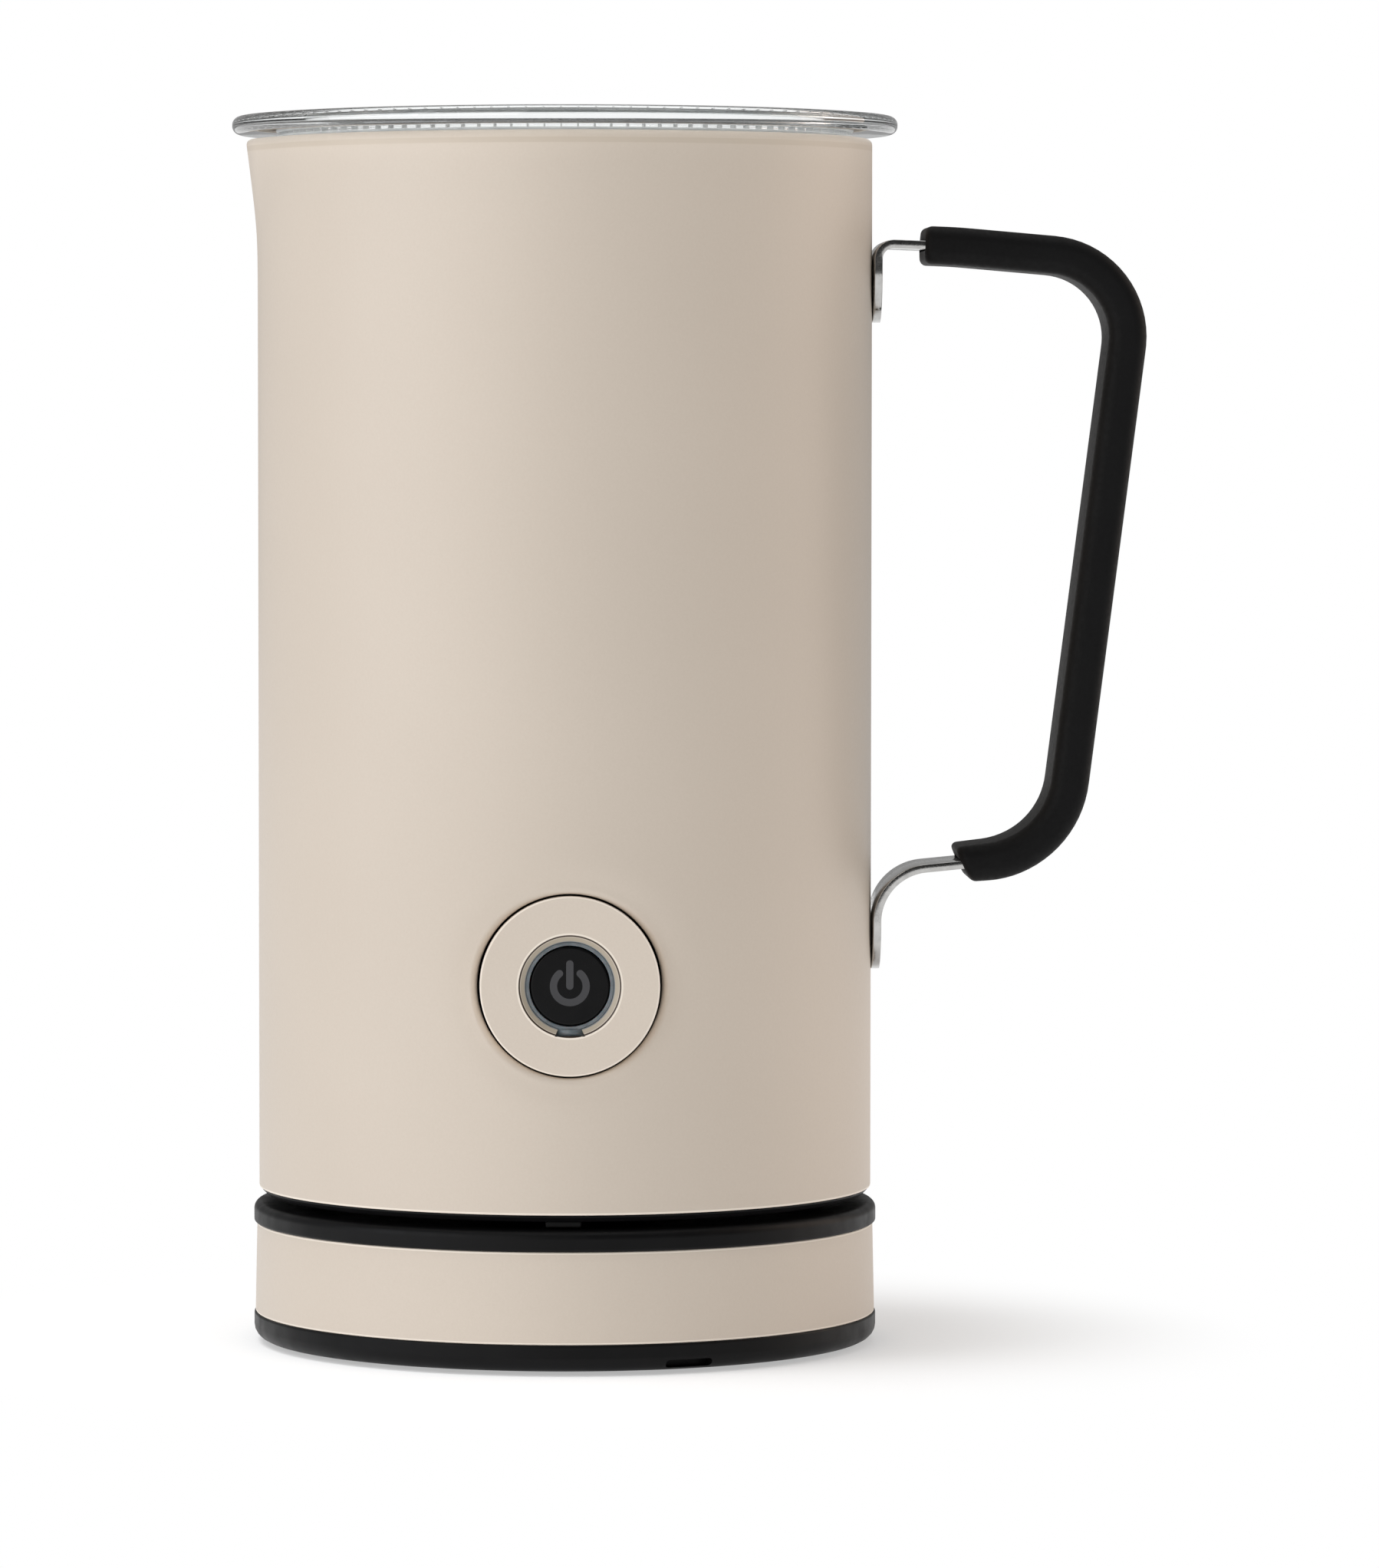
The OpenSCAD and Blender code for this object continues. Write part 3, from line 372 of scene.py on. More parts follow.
def rounded(corners, steps=5):
    # corners as (x, y, fillet): each fillet becomes an arc with a close support point on both sides
    points, count = [], len(corners)
    for i, (x, y, fillet) in enumerate(corners):
        here = Vector((x, y))
        if fillet <= 0:
            points.append(here)
            continue
        before = Vector(corners[i - 1][:2]) - here
        after = Vector(corners[(i + 1) % count][:2]) - here
        half = before.angle(after) / 2
        back = fillet / math.tan(half)
        start, end = here + before.normalized() * back, here + after.normalized() * back
        centre = here + (before.normalized() + after.normalized()).normalized() * fillet / math.sin(half)
        guard = min(0.12, fillet * 0.4)
        points.append(start + before.normalized() * min(guard, max(before.length - back, 0) * 0.4))
        first, last = start - centre, end - centre
        sweep = first.angle_signed(last)
        for k in range(steps + 1):
            turn = Matrix.Rotation(-sweep * k / steps, 2)
            points.append(centre + turn @ first)
        points.append(end + after.normalized() * min(guard, max(after.length - back, 0) * 0.4))
    return [(p.x, p.y) for p in points]

def lathe(name, profile, material, segments=192, radial=None, closed=True):
    # profile of (radius, height) turned about the jug's axis
    # radial(angle, radius, height) may move a point out
    rows, verts, faces = [], [], []
    for r, z in profile:
        if r < 1e-4:
            rows.append([len(verts)])
            verts.append((0, 0, z))
            continue
        row = []
        for k in range(segments):
            a = 2 * math.pi * k / segments
            out = radial(a, r, z) if radial else r
            row.append(len(verts))
            verts.append((out * math.cos(a), out * math.sin(a), z))
        rows.append(row)
    pairs = list(zip(rows, rows[1:] + rows[:1])) if closed else list(zip(rows, rows[1:]))
    for low, high in pairs:
        if len(low) == 1 and len(high) == 1:
            continue
        for k in range(segments):
            n = (k + 1) % segments
            if len(low) == 1:
                faces.append((low[0], high[n], high[k]))
            elif len(high) == 1:
                faces.append((low[k], low[n], high[0]))
            else:
                faces.append((low[k], low[n], high[n], high[k]))
    return makeObject(name, verts, faces, material)

def turnToFront(piece):
    # a lathe piece whose axis was Z faces the front: its z counts outwards from the jug's axis
    piece.data.transform(Matrix.Translation((0, 0, buttonZ * mm)) @ Matrix.Rotation(math.pi / 2, 4, "X"))
    return piece

def sweep(name, sections, material, caps=True):
    # closed loops of points, one after another
    verts, faces, width = [], [], len(sections[0])
    for loop in sections:
        verts += loop
    for i in range(len(sections) - 1):
        for k in range(width):
            n = (k + 1) % width
            faces.append((i * width + k, i * width + n, (i + 1) * width + n, (i + 1) * width + k))
    if caps:
        faces.append(tuple(reversed(range(width))))
        faces.append(tuple(range(len(verts) - width, len(verts))))
    return makeObject(name, verts, faces, material)

def plainMesh(piece):
    # what the modifiers make, as the piece's own mesh
    depsgraph = bpy.context.evaluated_depsgraph_get()
    mesh = bpy.data.meshes.new_from_object(piece.evaluated_get(depsgraph))
    piece.modifiers.clear()
    piece.data = mesh
    return piece


# shell: wall, spout, rolled rim and pressed button hole

shell = {
    "spoutReach": 1.9, "spoutHeight": 15.0, "spoutRadius": 30.0, "spoutBlend": 0.28,
    "rimRoll": 1.0, "rimFlat": 0.35, "wall": 0.7, "footRoll": 0.22,
    "holeRadius": (bezelHigh.x - bezelLow.x) / 2 + 0.35, "holeRoll": 1.15, "holeDepth": 2.2,
    "pressDepth": 0.35, "pressWide": 2.6,
    "patchHalf": 21.0, "patchSteps": 34,
}

def spoutedRadius(angle, r, z):
    # a leaning round form pushes the wall out at the spout, blended in softly
    reach = shell["spoutReach"] * (z - rimZ + shell["spoutHeight"]) / shell["spoutHeight"]
    if reach < -1.2 or math.cos(angle) > 0:
        return r
    offset, small = shellR - shell["spoutRadius"] + reach, r - shellR + shell["spoutRadius"]
    side = offset * math.sin(angle)
    if abs(side) > small:
        return r
    lobe = -offset * math.cos(angle) + math.sqrt(small * small - side * side)
    soft = shell["spoutBlend"]
    return r + soft * math.log1p(math.exp(min((lobe - r) / soft, 60)))

def shellPoint(angle, r, z):
    out = spoutedRadius(angle, r, z)
    return (out * math.cos(angle), out * math.sin(angle), z)

def pressed(rho):
    # how far the wall is pressed in at a distance rho from the hole's edge
    return shell["pressDepth"] * math.exp(-((rho / shell["pressWide"]) ** 2))

def makeShell():
    half, steps, hole = shell["patchHalf"], shell["patchSteps"], shell["holeRadius"]
    front = -math.pi / 2
    spread = half / shellR
    patchAngles = [front - spread + 2 * spread * i / steps for i in range(steps + 1)]
    restCount = 150
    restAngles = [front + spread + (2 * math.pi - 2 * spread) * i / restCount for i in range(1, restCount)]
    angles = patchAngles + restAngles
    lowZ, highZ = buttonZ - half, buttonZ + half
    bottom, top = shellLow.z, rimZ
    roll, foot = shell["rimRoll"], shell["footRoll"]
    rows = []
    for k in range(4):
        t = math.pi / 2 * k / 3
        rows.append((shellR - foot + foot * math.sin(t), bottom + foot - foot * math.cos(t)))
    rows.append((shellR, bottom + foot + 0.3))
    rows += [(shellR, bottom + 1.2 + (lowZ - bottom - 1.2) * i / 6) for i in range(7)]
    patchStart = len(rows) - 1
    rows += [(shellR, lowZ + 2 * half * i / steps) for i in range(1, steps + 1)]
    patchEnd = len(rows) - 1
    spoutZ = top - shell["spoutHeight"] - 8
    rows += [(shellR, highZ + (spoutZ - highZ) * i / 30) for i in range(1, 31)]
    rows += [(shellR, spoutZ + (top - roll - 0.3 - spoutZ) * i / 22) for i in range(1, 23)]
    for k in range(7):
        t = math.pi / 2 * k / 6
        rows.append((shellR - roll + roll * math.cos(t), top - roll + roll * math.sin(t)))
    rows.append((shellR - roll - shell["rimFlat"], top))
    verts, index = [], {}
    for i, (r, z) in enumerate(rows):
        for j, a in enumerate(angles):
            if patchStart < i < patchEnd and 0 < j < steps:
                continue
            index[i, j] = len(verts)
            verts.append(shellPoint(a, r, z))
    faces, count = [], len(angles)
    for i in range(len(rows) - 1):
        for j in range(count):
            if patchStart <= i < patchEnd and j < steps:
                continue
            n = (j + 1) % count
            faces.append((index[i, j], index[i, n], index[i + 1, n], index[i + 1, j]))
    edge = [(patchStart, j) for j in range(steps)]
    edge += [(i, steps) for i in range(patchStart, patchEnd)]
    edge += [(patchEnd, j) for j in range(steps, 0, -1)]
    edge += [(i, 0) for i in range(patchEnd, patchStart, -1)]
    outer = [index[e] for e in edge]
    rings = [outer]
    roundEdge = shell["holeRoll"]
    blends = [0.93, 0.84, 0.74, 0.64, 0.54, 0.44, 0.34, 0.25, 0.17, 0.11, 0.06, 0.03, 0.0]
    for s in blends:
        ring = []
        for v in outer:
            x0, z0 = verts[v][0], verts[v][2] - buttonZ
            a = math.atan2(z0, x0)
            rim = Vector((math.cos(a), math.sin(a))) * (hole + roundEdge)
            p = rim.lerp(Vector((x0, z0)), s)
            y = -math.sqrt(shellR ** 2 - p.x ** 2) + pressed(p.length - hole - roundEdge)
            ring.append(len(verts))
            verts.append((p.x, y, p.y + buttonZ))
        rings.append(ring)
    base = rings[-1]
    for k in range(1, 9):
        t = math.pi / 2 * k / 8
        ring = []
        for v in base:
            x0, y0, z0 = verts[v]
            a = math.atan2(z0 - buttonZ, x0)
            rho = hole + roundEdge * (1 - math.sin(t))
            ring.append(len(verts))
            verts.append((rho * math.cos(a), y0 + roundEdge * (1 - math.cos(t)), buttonZ + rho * math.sin(a)))
        rings.append(ring)
    ring = []
    for v in rings[-1]:
        x0, y0, z0 = verts[v]
        ring.append(len(verts))
        verts.append((x0, y0 + shell["holeDepth"] - roundEdge, z0))
    rings.append(ring)
    for a, b in zip(rings, rings[1:]):
        for k in range(len(a)):
            n = (k + 1) % len(a)
            faces.append((a[k], a[n], b[n], b[k]))
    piece = makeObject("shellWall", verts, faces, coat)
    wall = piece.modifiers.new("wall", "SOLIDIFY")
    wall.thickness = shell["wall"] * mm
    wall.offset = -1
    return finish(plainMesh(piece), "jug", "powder_coat", "outer_shell")

makeShell()
print("shell made")


# pot and gasket

pot = {"wall": 0.8, "corner": 8.0, "floor": 1.0}

def makePot():
    r = shellR - 0.8 - 1.0
    inner, top = r - pot["wall"], potHigh.z
    low, edge = potLow.z, shellR - 0.9
    corners = [
        (0, low, 0), (r, low, pot["corner"]), (r, top - pot["wall"], 0.25), (edge, top - pot["wall"], 0.25),
        (edge, top, 0.25), (inner, top, 0.3), (inner, low + pot["floor"], pot["corner"] - pot["wall"]),
        (0, low + pot["floor"], 0),
    ]
    profile = rounded(corners, 8)
    profile = splitWall(profile, 24)
    wall = lathe("potWall", profile, potSteel, radial=spoutedRadius, closed=False)
    return finish(wall, "jug", "steel", "inner_pot")

def splitWall(profile, count):
    # extra rows in the top of a straight wall, so that it can follow the spout
    out = []
    for (r0, z0), (r1, z1) in zip(profile, profile[1:]):
        out.append((r0, z0))
        if abs(z1 - z0) > 30:
            marks = [z0 + (z1 - z0) * k / count for k in range(1, count)]
            out += [(r0, z) for z in marks]
    return out + [profile[-1]]

makePot()
gasketIn = shellR - 2.6
gasketProfile = rounded([
    (gasketIn, gasketLow.z, 0.2), (shellR - 0.9, gasketLow.z, 0.2), (shellR - 0.9, gasketHigh.z, 0.2),
    (gasketIn, gasketHigh.z, 0.35),
], 4)
gasketRing = lathe("gasketRing", gasketProfile, sealDark, radial=spoutedRadius)
finish(gasketRing, "jug", "dark_silicone", "rim_gasket")
print("pot made")


# lid and its seal

lid = {
    "dishWall": 2.0, "plugInset": 2.9, "fillet": 0.9, "floor": 2.0,
    "slopeStart": 0.25, "slopeEnd": 0.55, "edge": 1.3,
}

def makeLid():
    plugR = shellR - 2.6 - lid["plugInset"]
    dishR = plugR - lid["dishWall"]
    edge = (lidHigh.x - 1e-3)
    flangeZ = sealHigh.z
    corners = [
        (0, lidLow.z, 0), (plugR, lidLow.z, lid["fillet"]), (plugR, flangeZ, 0.3),
        (edge, flangeZ, lid["edge"]), (edge, lidHigh.z - lid["slopeEnd"], lid["edge"]),
        (shellR, lidHigh.z - lid["slopeStart"], 0.8), (dishR, lidHigh.z, lid["fillet"]),
        (dishR, lidLow.z + lid["floor"], lid["fillet"]), (0, lidLow.z + lid["floor"], 0),
    ]
    body = lathe("lidBody", rounded(corners, 10), lidClear, 256, closed=False)
    return finish(body, "lid", "clear_plastic", "lid_cover")

makeLid()

seal = {"ribs": 110, "ribWide": 0.7, "ribHigh": 0.22, "ribDeep": 1.2, "under": 0.26}

def makeSeal():
    body = shellR - 2.6 - lid["plugInset"]
    collar = body + 1.2
    lip = sealHigh.y
    low = sealLow.z
    corners = [
        (body, low, 0.3), (collar, low, 0.3),
        (collar, low + 1.3, 0.2), (lip, low + 1.3, 0.35), (lip, low + 2.2, 0.35), (collar, low + 2.2, 0.2),
        (collar, low + 4.5, 0.2), (lip, low + 4.5, 0.35), (lip, low + 5.4, 0.35), (collar, low + 5.4, 0.2),
        (collar, sealHigh.z - 1.8, 0.3), (lip, sealHigh.z - 1.8, 0.5),
        (lip, sealHigh.z - seal["under"], 0.4), (body, sealHigh.z - seal["under"], 0.2),
    ]
    return finish(lathe("sealRing", rounded(corners, 4), sealPale), "lid", "silicone", "lid_seal")

makeSeal()


# Geometry Nodes: a ring of small blocks, and the whisk's coil

def newTree(name, sockets):
    tree = bpy.data.node_groups.new(name, "GeometryNodeTree")
    for label, kind, value in sockets:
        socket = tree.interface.new_socket(label, in_out="INPUT", socket_type=kind)
        if value is not None:
            socket.default_value = value
    tree.interface.new_socket("Geometry", in_out="OUTPUT", socket_type="NodeSocketGeometry")
    return tree, node(tree, "NodeGroupInput"), node(tree, "NodeGroupOutput")

def closeTree(tree, outNode, geometry, material):
    real = node(tree, "GeometryNodeRealizeInstances", inputs={"Geometry": geometry})
    painted = node(tree, "GeometryNodeSetMaterial", inputs={
        "Geometry": real.outputs[0], "Material": material,
    })
    tree.links.new(painted.outputs[0], outNode.inputs[0])

def carry(name, tree, values, material):
    # a piece made by the tree: its inputs are set by identifier before the first evaluation
    mesh = bpy.data.meshes.new(name)
    piece = bpy.data.objects.new(name, mesh)
    bpy.context.scene.collection.objects.link(piece)
    modifier = piece.modifiers.new(name, "NODES")
    modifier.node_group = tree
    for item in tree.interface.items_tree:
        if item.in_out == "INPUT" and item.name in values:
            modifier[item.identifier] = values[item.name]
    plainMesh(piece)
    if not piece.data.materials:
        piece.data.materials.append(material)
    return piece

def ringOfBlocks(name, material, values):
    # small blocks spaced round a circle, each turned to face outwards
    tree, given, out = newTree(name, [
        ("Count", "NodeSocketInt", 12), ("Radius", "NodeSocketFloat", 0.05),
        ("Height", "NodeSocketFloat", 0.0), ("Size", "NodeSocketVector", None),
        ("Turn", "NodeSocketFloat", 0.0),
    ])
    circle = node(tree, "GeometryNodeCurvePrimitiveCircle", inputs={
        "Resolution": 256, "Radius": given.outputs["Radius"],
    })
    marks = node(tree, "GeometryNodeCurveToPoints", {"mode": "COUNT"}, {
        "Curve": circle.outputs[0], "Count": given.outputs["Count"],
    })
    block = node(tree, "GeometryNodeMeshCube", inputs={"Size": given.outputs["Size"]})
    placed = node(tree, "GeometryNodeInstanceOnPoints", inputs={
        "Points": marks.outputs["Points"], "Instance": block.outputs[0],
        "Rotation": marks.outputs["Rotation"],
    })
    lift = node(tree, "ShaderNodeCombineXYZ", inputs={"Z": given.outputs["Height"]})
    spin = node(tree, "ShaderNodeCombineXYZ", inputs={"Z": given.outputs["Turn"]})
    moved = node(tree, "GeometryNodeTransform", inputs={
        "Geometry": placed.outputs[0], "Translation": lift.outputs[0], "Rotation": spin.outputs[0],
    })
    closeTree(tree, out, moved.outputs[0], material)
    return carry(name, tree, values, material)

def makeSealRibs():
    values = {
        "Count": seal["ribs"], "Radius": (sealHigh.y - 1.0) * mm,
        "Height": (sealHigh.z - seal["under"] / 2) * mm,
        "Size": (seal["ribDeep"] * mm, seal["ribWide"] * mm, seal["ribHigh"] * mm),
    }
    return finish(ringOfBlocks("sealRibs", sealPale, values), "lid", "silicone")

makeSealRibs()

whisk = {
    "turns": 17, "stepsPerTurn": 18, "gapDeg": 9.0, "coilRadius": 2.3, "wire": 0.4,
    "arms": 4, "firstArm": 45.0,
}

def makeCoil():
    ringR = (wireHigh.x - wireLow.x) / 2 - 0.8
    centreZ = (coilLow.z + coilHigh.z) / 2
    tree, given, out = newTree("whisk coil", [
        ("Ring Radius", "NodeSocketFloat", 0.017), ("Coil Radius", "NodeSocketFloat", 0.0023),
        ("Wire Radius", "NodeSocketFloat", 0.0004), ("Height", "NodeSocketFloat", 0.0),
        ("Turns", "NodeSocketFloat", 17.0),
        ("Arc", "NodeSocketFloat", 1.4), ("Start", "NodeSocketFloat", 0.9), ("Arms", "NodeSocketInt", 4),
    ])
    count = whisk["turns"] * whisk["stepsPerTurn"]
    line = node(tree, "GeometryNodeMeshLine", inputs={"Count": count})
    along = maths(tree, "DIVIDE", node(tree, "GeometryNodeInputIndex").outputs[0], float(count - 1))
    big = maths(tree, "ADD", maths(tree, "MULTIPLY", along, given.outputs["Arc"]), given.outputs["Start"])
    small = maths(tree, "MULTIPLY", maths(tree, "MULTIPLY", along, given.outputs["Turns"]), 2 * math.pi)
    reach = maths(tree, "ADD", given.outputs["Ring Radius"],
                  maths(tree, "MULTIPLY", maths(tree, "COSINE", small), given.outputs["Coil Radius"]))
    place = node(tree, "ShaderNodeCombineXYZ", inputs={
        "X": maths(tree, "MULTIPLY", reach, maths(tree, "COSINE", big)),
        "Y": maths(tree, "MULTIPLY", reach, maths(tree, "SINE", big)),
        "Z": maths(tree, "ADD", given.outputs["Height"],
                   maths(tree, "MULTIPLY", maths(tree, "SINE", small), given.outputs["Coil Radius"])),
    })
    bent = node(tree, "GeometryNodeSetPosition", inputs={
        "Geometry": line.outputs[0], "Position": place.outputs[0],
    })
    path = node(tree, "GeometryNodeMeshToCurve", inputs={"Mesh": bent.outputs[0]})
    wire = node(tree, "GeometryNodeCurvePrimitiveCircle", inputs={
        "Resolution": 8, "Radius": given.outputs["Wire Radius"],
    })
    solid = node(tree, "GeometryNodeCurveToMesh", inputs={
        "Curve": path.outputs[0], "Profile Curve": wire.outputs[0], "Fill Caps": True,
    })
    smooth = node(tree, "GeometryNodeSetShadeSmooth", inputs={"Geometry": solid.outputs[0]})
    arms = node(tree, "GeometryNodeMeshLine", inputs={"Count": given.outputs["Arms"], "Offset": (0, 0, 0)})
    spin = node(tree, "ShaderNodeCombineXYZ", inputs={
        "Z": maths(tree, "MULTIPLY", node(tree, "GeometryNodeInputIndex").outputs[0], math.pi / 2),
    })
    placed = node(tree, "GeometryNodeInstanceOnPoints", inputs={
        "Points": arms.outputs[0], "Instance": smooth.outputs[0], "Rotation": spin.outputs[0],
    })
    closeTree(tree, out, placed.outputs[0], wireSteel)
    gap = math.radians(whisk["gapDeg"])
    piece = carry("whiskCoil", tree, {
        "Ring Radius": ringR * mm, "Coil Radius": whisk["coilRadius"] * mm, "Wire Radius": whisk["wire"] * mm,
        "Height": centreZ * mm, "Turns": float(whisk["turns"]), "Arc": math.pi / 2 - gap,
        "Start": math.radians(whisk["firstArm"]) + gap / 2, "Arms": whisk["arms"],
    }, wireSteel)
    return finish(piece, "whisk", "steel", "whisk_coil")

makeCoil()
print("lid and whisk made")


# base and jug covers

base = {
    "bandWall": 0.8, "bandInset": 0.5, "lowEdge": 2.2, "topEdge": 1.3, "seamEdge": 0.4,
    "drainWide": 8.0, "drainHigh": 1.3, "drainUp": 1.1, "drainFirst": -68.0, "glandCollar": 1.2,
    "footSeat": (5.05, 1.4), "screwSeat": (2.8, 1.5), "socket": 14.9, "boss": 12.5, "skirt": 2.0,
}
skirtR = topCoverHigh.x - base["bandInset"] - base["bandWall"] - 0.4

def makeBand():
    low, high = bandLow.z, bandHigh.z
    lowR, highR = bandHigh.x, topCoverHigh.x - base["bandInset"]
    wall = base["bandWall"]
    corners = [(lowR, low, 0.25), (highR, high, 0.25), (highR - wall, high, 0.2), (lowR - wall, low, 0.2)]
    band = lathe("bandRing", rounded(corners, 4), coat, 256)
    glandLow, glandHigh = boxOf("cord_gland")
    glandR = (glandHigh.x - glandLow.x) / 2 - base["glandCollar"]
    glandZ = (glandLow.z + glandHigh.z) / 2
    cutter = plug("glandCutter", glandR, 20, 70, 48)
    cutter.data.transform(Matrix.Translation((0, 0, glandZ * mm)) @ Matrix.Rotation(-math.pi / 2, 4, "X"))
    return finish(cut(band, cutter), "base", "powder_coat", "base_band")

def cut(piece, *cutters):
    for i, cutter in enumerate(cutters):
        tool = piece.modifiers.new(f"cut{i}", "BOOLEAN")
        tool.operation = "DIFFERENCE"
        tool.solver = "EXACT"
        tool.object = cutter
    plainMesh(piece)
    piece.data.set_sharp_from_angle(angle=math.radians(32))
    for cutter in cutters:
        bpy.data.objects.remove(cutter)
    return piece

def plug(name, r, low, high, segments=40, place=(0, 0)):
    # a plain round bar along Z, to cut a hole or a seat
    bar = lathe(name, [(0, low), (r, low), (r, high), (0, high)], coat, segments, closed=False)
    bar.data.transform(Matrix.Translation((place[0] * mm, place[1] * mm, 0)))
    return bar

def onCircle(r, angleDeg):
    return r * math.cos(math.radians(angleDeg)), r * math.sin(math.radians(angleDeg))

def stadiumCutter(name, wide, high, z, angleDeg, near, far):
    # a long round-ended bar pointing outwards, to cut a slot
    loop = []
    for side in (1, -1):
        for k in range(9):
            t = math.pi / 2 - math.pi * k / 8 if side > 0 else -math.pi / 2 - math.pi * k / 8
            loop.append((side * (wide - high) / 2 + high / 2 * math.cos(t), high / 2 * math.sin(t)))
    sections = [[(x, y, z + h) for y, h in loop] for x in (near, far)]
    bar = sweep(name, sections, coat)
    bar.data.transform(Matrix.Rotation(math.radians(angleDeg), 4, "Z"))
    return bar

def makeLowCover():
    r, low, high = lowCoverHigh.x, lowCoverLow.z, bandLow.z
    lip, inside = skirtR, skirtR - base["skirt"]
    corners = [
        (0, low, 0), (r, low, base["lowEdge"]), (r, high, 0.3),
        (lip, high, 0.1), (lip, lowCoverHigh.z, 0.2), (inside, lowCoverHigh.z, 0.2),
        (inside, low + 2.4, 0.5), (0, low + 2.4, 0),
    ]
    cover = lathe("lowCover", rounded(corners, 5), coverBlack, 256, closed=False)
    cutters = []
    for i in range(3):
        cutters.append(stadiumCutter(
            f"drain{i}", base["drainWide"], base["drainHigh"], low + base["drainUp"],
            base["drainFirst"] + 120 * i, r - 3, r + 3))
    for i in range(3):
        for first, ringR, seat in ((90, shellR - 10, "footSeat"), (30, shellR - 18, "screwSeat")):
            size, depth = base[seat]
            place = onCircle(ringR, first + 120 * i)
            cutters.append(plug(f"seat{first}{i}", size, low - 1, low + depth, place=place))
    return finish(cut(cover, *cutters), "base", "black_plastic", "base_bottom_cover")

def makeTopCover():
    r, low, high = topCoverHigh.x, bandHigh.z, topCoverHigh.z
    bossR = base["boss"]
    lip, inside = skirtR, skirtR - base["skirt"]
    corners = [
        (bossR, high, 0.3), (bossR, high - 2, 0.1), (inside, high - 2, 0.3),
        (inside, low - 2.5, 0.2), (lip, low - 2.5, 0.2),
        (lip, low, 0.1), (r, low, base["seamEdge"]), (r, high, base["topEdge"]), (shellR - 4.5, high, 0.4),
        (shellR - 5.0, high - 0.5, 0.3), (bossR + 4, high - 0.5, 0.3), (bossR + 3.5, high, 0.3),
    ]
    cover = lathe("topCover", rounded(corners, 8), coverBlack, 256)
    return finish(cover, "base", "black_plastic", "base_top_cover")

def makeJugFloor():
    low, step, high = jugFloorLow.z, shellLow.z, jugFloorHigh.z
    outer, lip = shellR - 0.1, shellR - 0.8
    inside, socketR = lip - base["skirt"], base["socket"]
    corners = [
        (socketR, low, 0.4), (shellR - 1.2, low, 0.35), (outer, step, 0.2), (lip, step, 0),
        (lip, high, 0.2), (inside, high, 0.2), (inside, low + 2.4, 0.4), (socketR, low + 2.4, 0.2),
    ]
    floor = lathe("jugFloor", rounded(corners, 5), coverBlack, 256)
    size, depth = base["screwSeat"]
    cutters = []
    for a in (0, 90, 180):
        cutters.append(plug(f"screwSeat{a}", size, low - 1, low + depth, place=onCircle(shellR - 12, a)))
    return finish(cut(floor, *cutters), "jug", "black_plastic", "jug_bottom_cover")

makeBand()
makeLowCover()
makeTopCover()
makeJugFloor()
print("covers made")


# button

button = {
    "chamfer": 0.2, "mouth": 8.1, "bore": 7.0, "bevelDepth": 0.7, "guideGap": 0.2, "guideFlange": 9.0,
    "capRadius": 6.175, "capEdge": 0.25, "capFlange": 1.9, "keyWide": 3.9, "keyReach": 7.85,
}

def makeBezel():
    r, front, back = (bezelHigh.x - bezelLow.x) / 2, -bezelLow.y, -bezelHigh.y
    inner = button["bore"]
    corners = [
        (r, back, 0.1), (r, front, button["chamfer"]), (button["mouth"], front, 0.12),
        (inner, front - button["bevelDepth"], 0.15), (inner, back, 0.1),
    ]
    disc = turnToFront(lathe("bezelDisc", rounded(corners, 4), bezelCoat, 192))
    slot = turnToFront(raised("keySlot", keyOutline(0.06), back - 1, front + 1, bezelCoat))
    return finish(cut(disc, slot), "jug", "powder_coat", "button_bezel")

def raised(name, outline, low, high, material):
    # a flat outline given a thickness along the button's axis
    return sweep(name, [[(x, y, z) for x, y in outline] for z in (low, high)], material)

def keyOutline(grow):
    # the light guide's key at the foot of the bezel's mouth, narrower towards the cap
    half, foot, top = button["keyWide"] / 2 + grow, -button["keyReach"] - grow, 0.3 - button["bore"]
    return [(-half - 0.4, foot), (half + 0.4, foot), (half - 0.2, top), (-half + 0.2, top)]

def makeGuide():
    front, back = -guideLow.y, -guideHigh.y
    inner, bore, flange = button["capRadius"] + button["guideGap"], button["bore"], button["guideFlange"]
    step = back + 0.8
    corners = [
        (inner, back, 0.1), (flange, back, 0.1), (flange, step, 0.1), (bore, step, 0.05),
        (bore, front, 0.12), (inner, front, 0.15),
    ]
    ring = turnToFront(lathe("guideRing", rounded(corners, 4), guideGrey, 128))
    key = turnToFront(raised("guideKey", keyOutline(0), step, front, guideGrey))
    finish(key, "jug", "light_guide")
    return finish(ring, "jug", "light_guide", "light_ring")

def makeCap():
    front, back = -capLow.y, -capHigh.y
    r, flange, step = button["capRadius"], boreR, back + button["capFlange"]
    corners = [
        (0, front, 0), (r, front, button["capEdge"]), (r, step, 0.1),
        (flange, step, 0.15), (flange, back, 0.15), (0, back, 0),
    ]
    disc = turnToFront(lathe("capDisc", rounded(corners, 5), capBlack, 128, closed=False))
    return finish(disc, "button", "button_black", "button_cap")

symbol = {"outer": 3.15, "stroke": 1.15, "openDeg": 39, "barTop": 4.1, "barLow": 0.55, "ink": 0.1}

def arcPoints(centre, r, first, last, steps):
    # points on an arc from one angle to another, both ends included
    turns = [first + (last - first) * k / steps for k in range(steps + 1)]
    return [(centre[0] + r * math.cos(t), centre[1] + r * math.sin(t)) for t in turns]

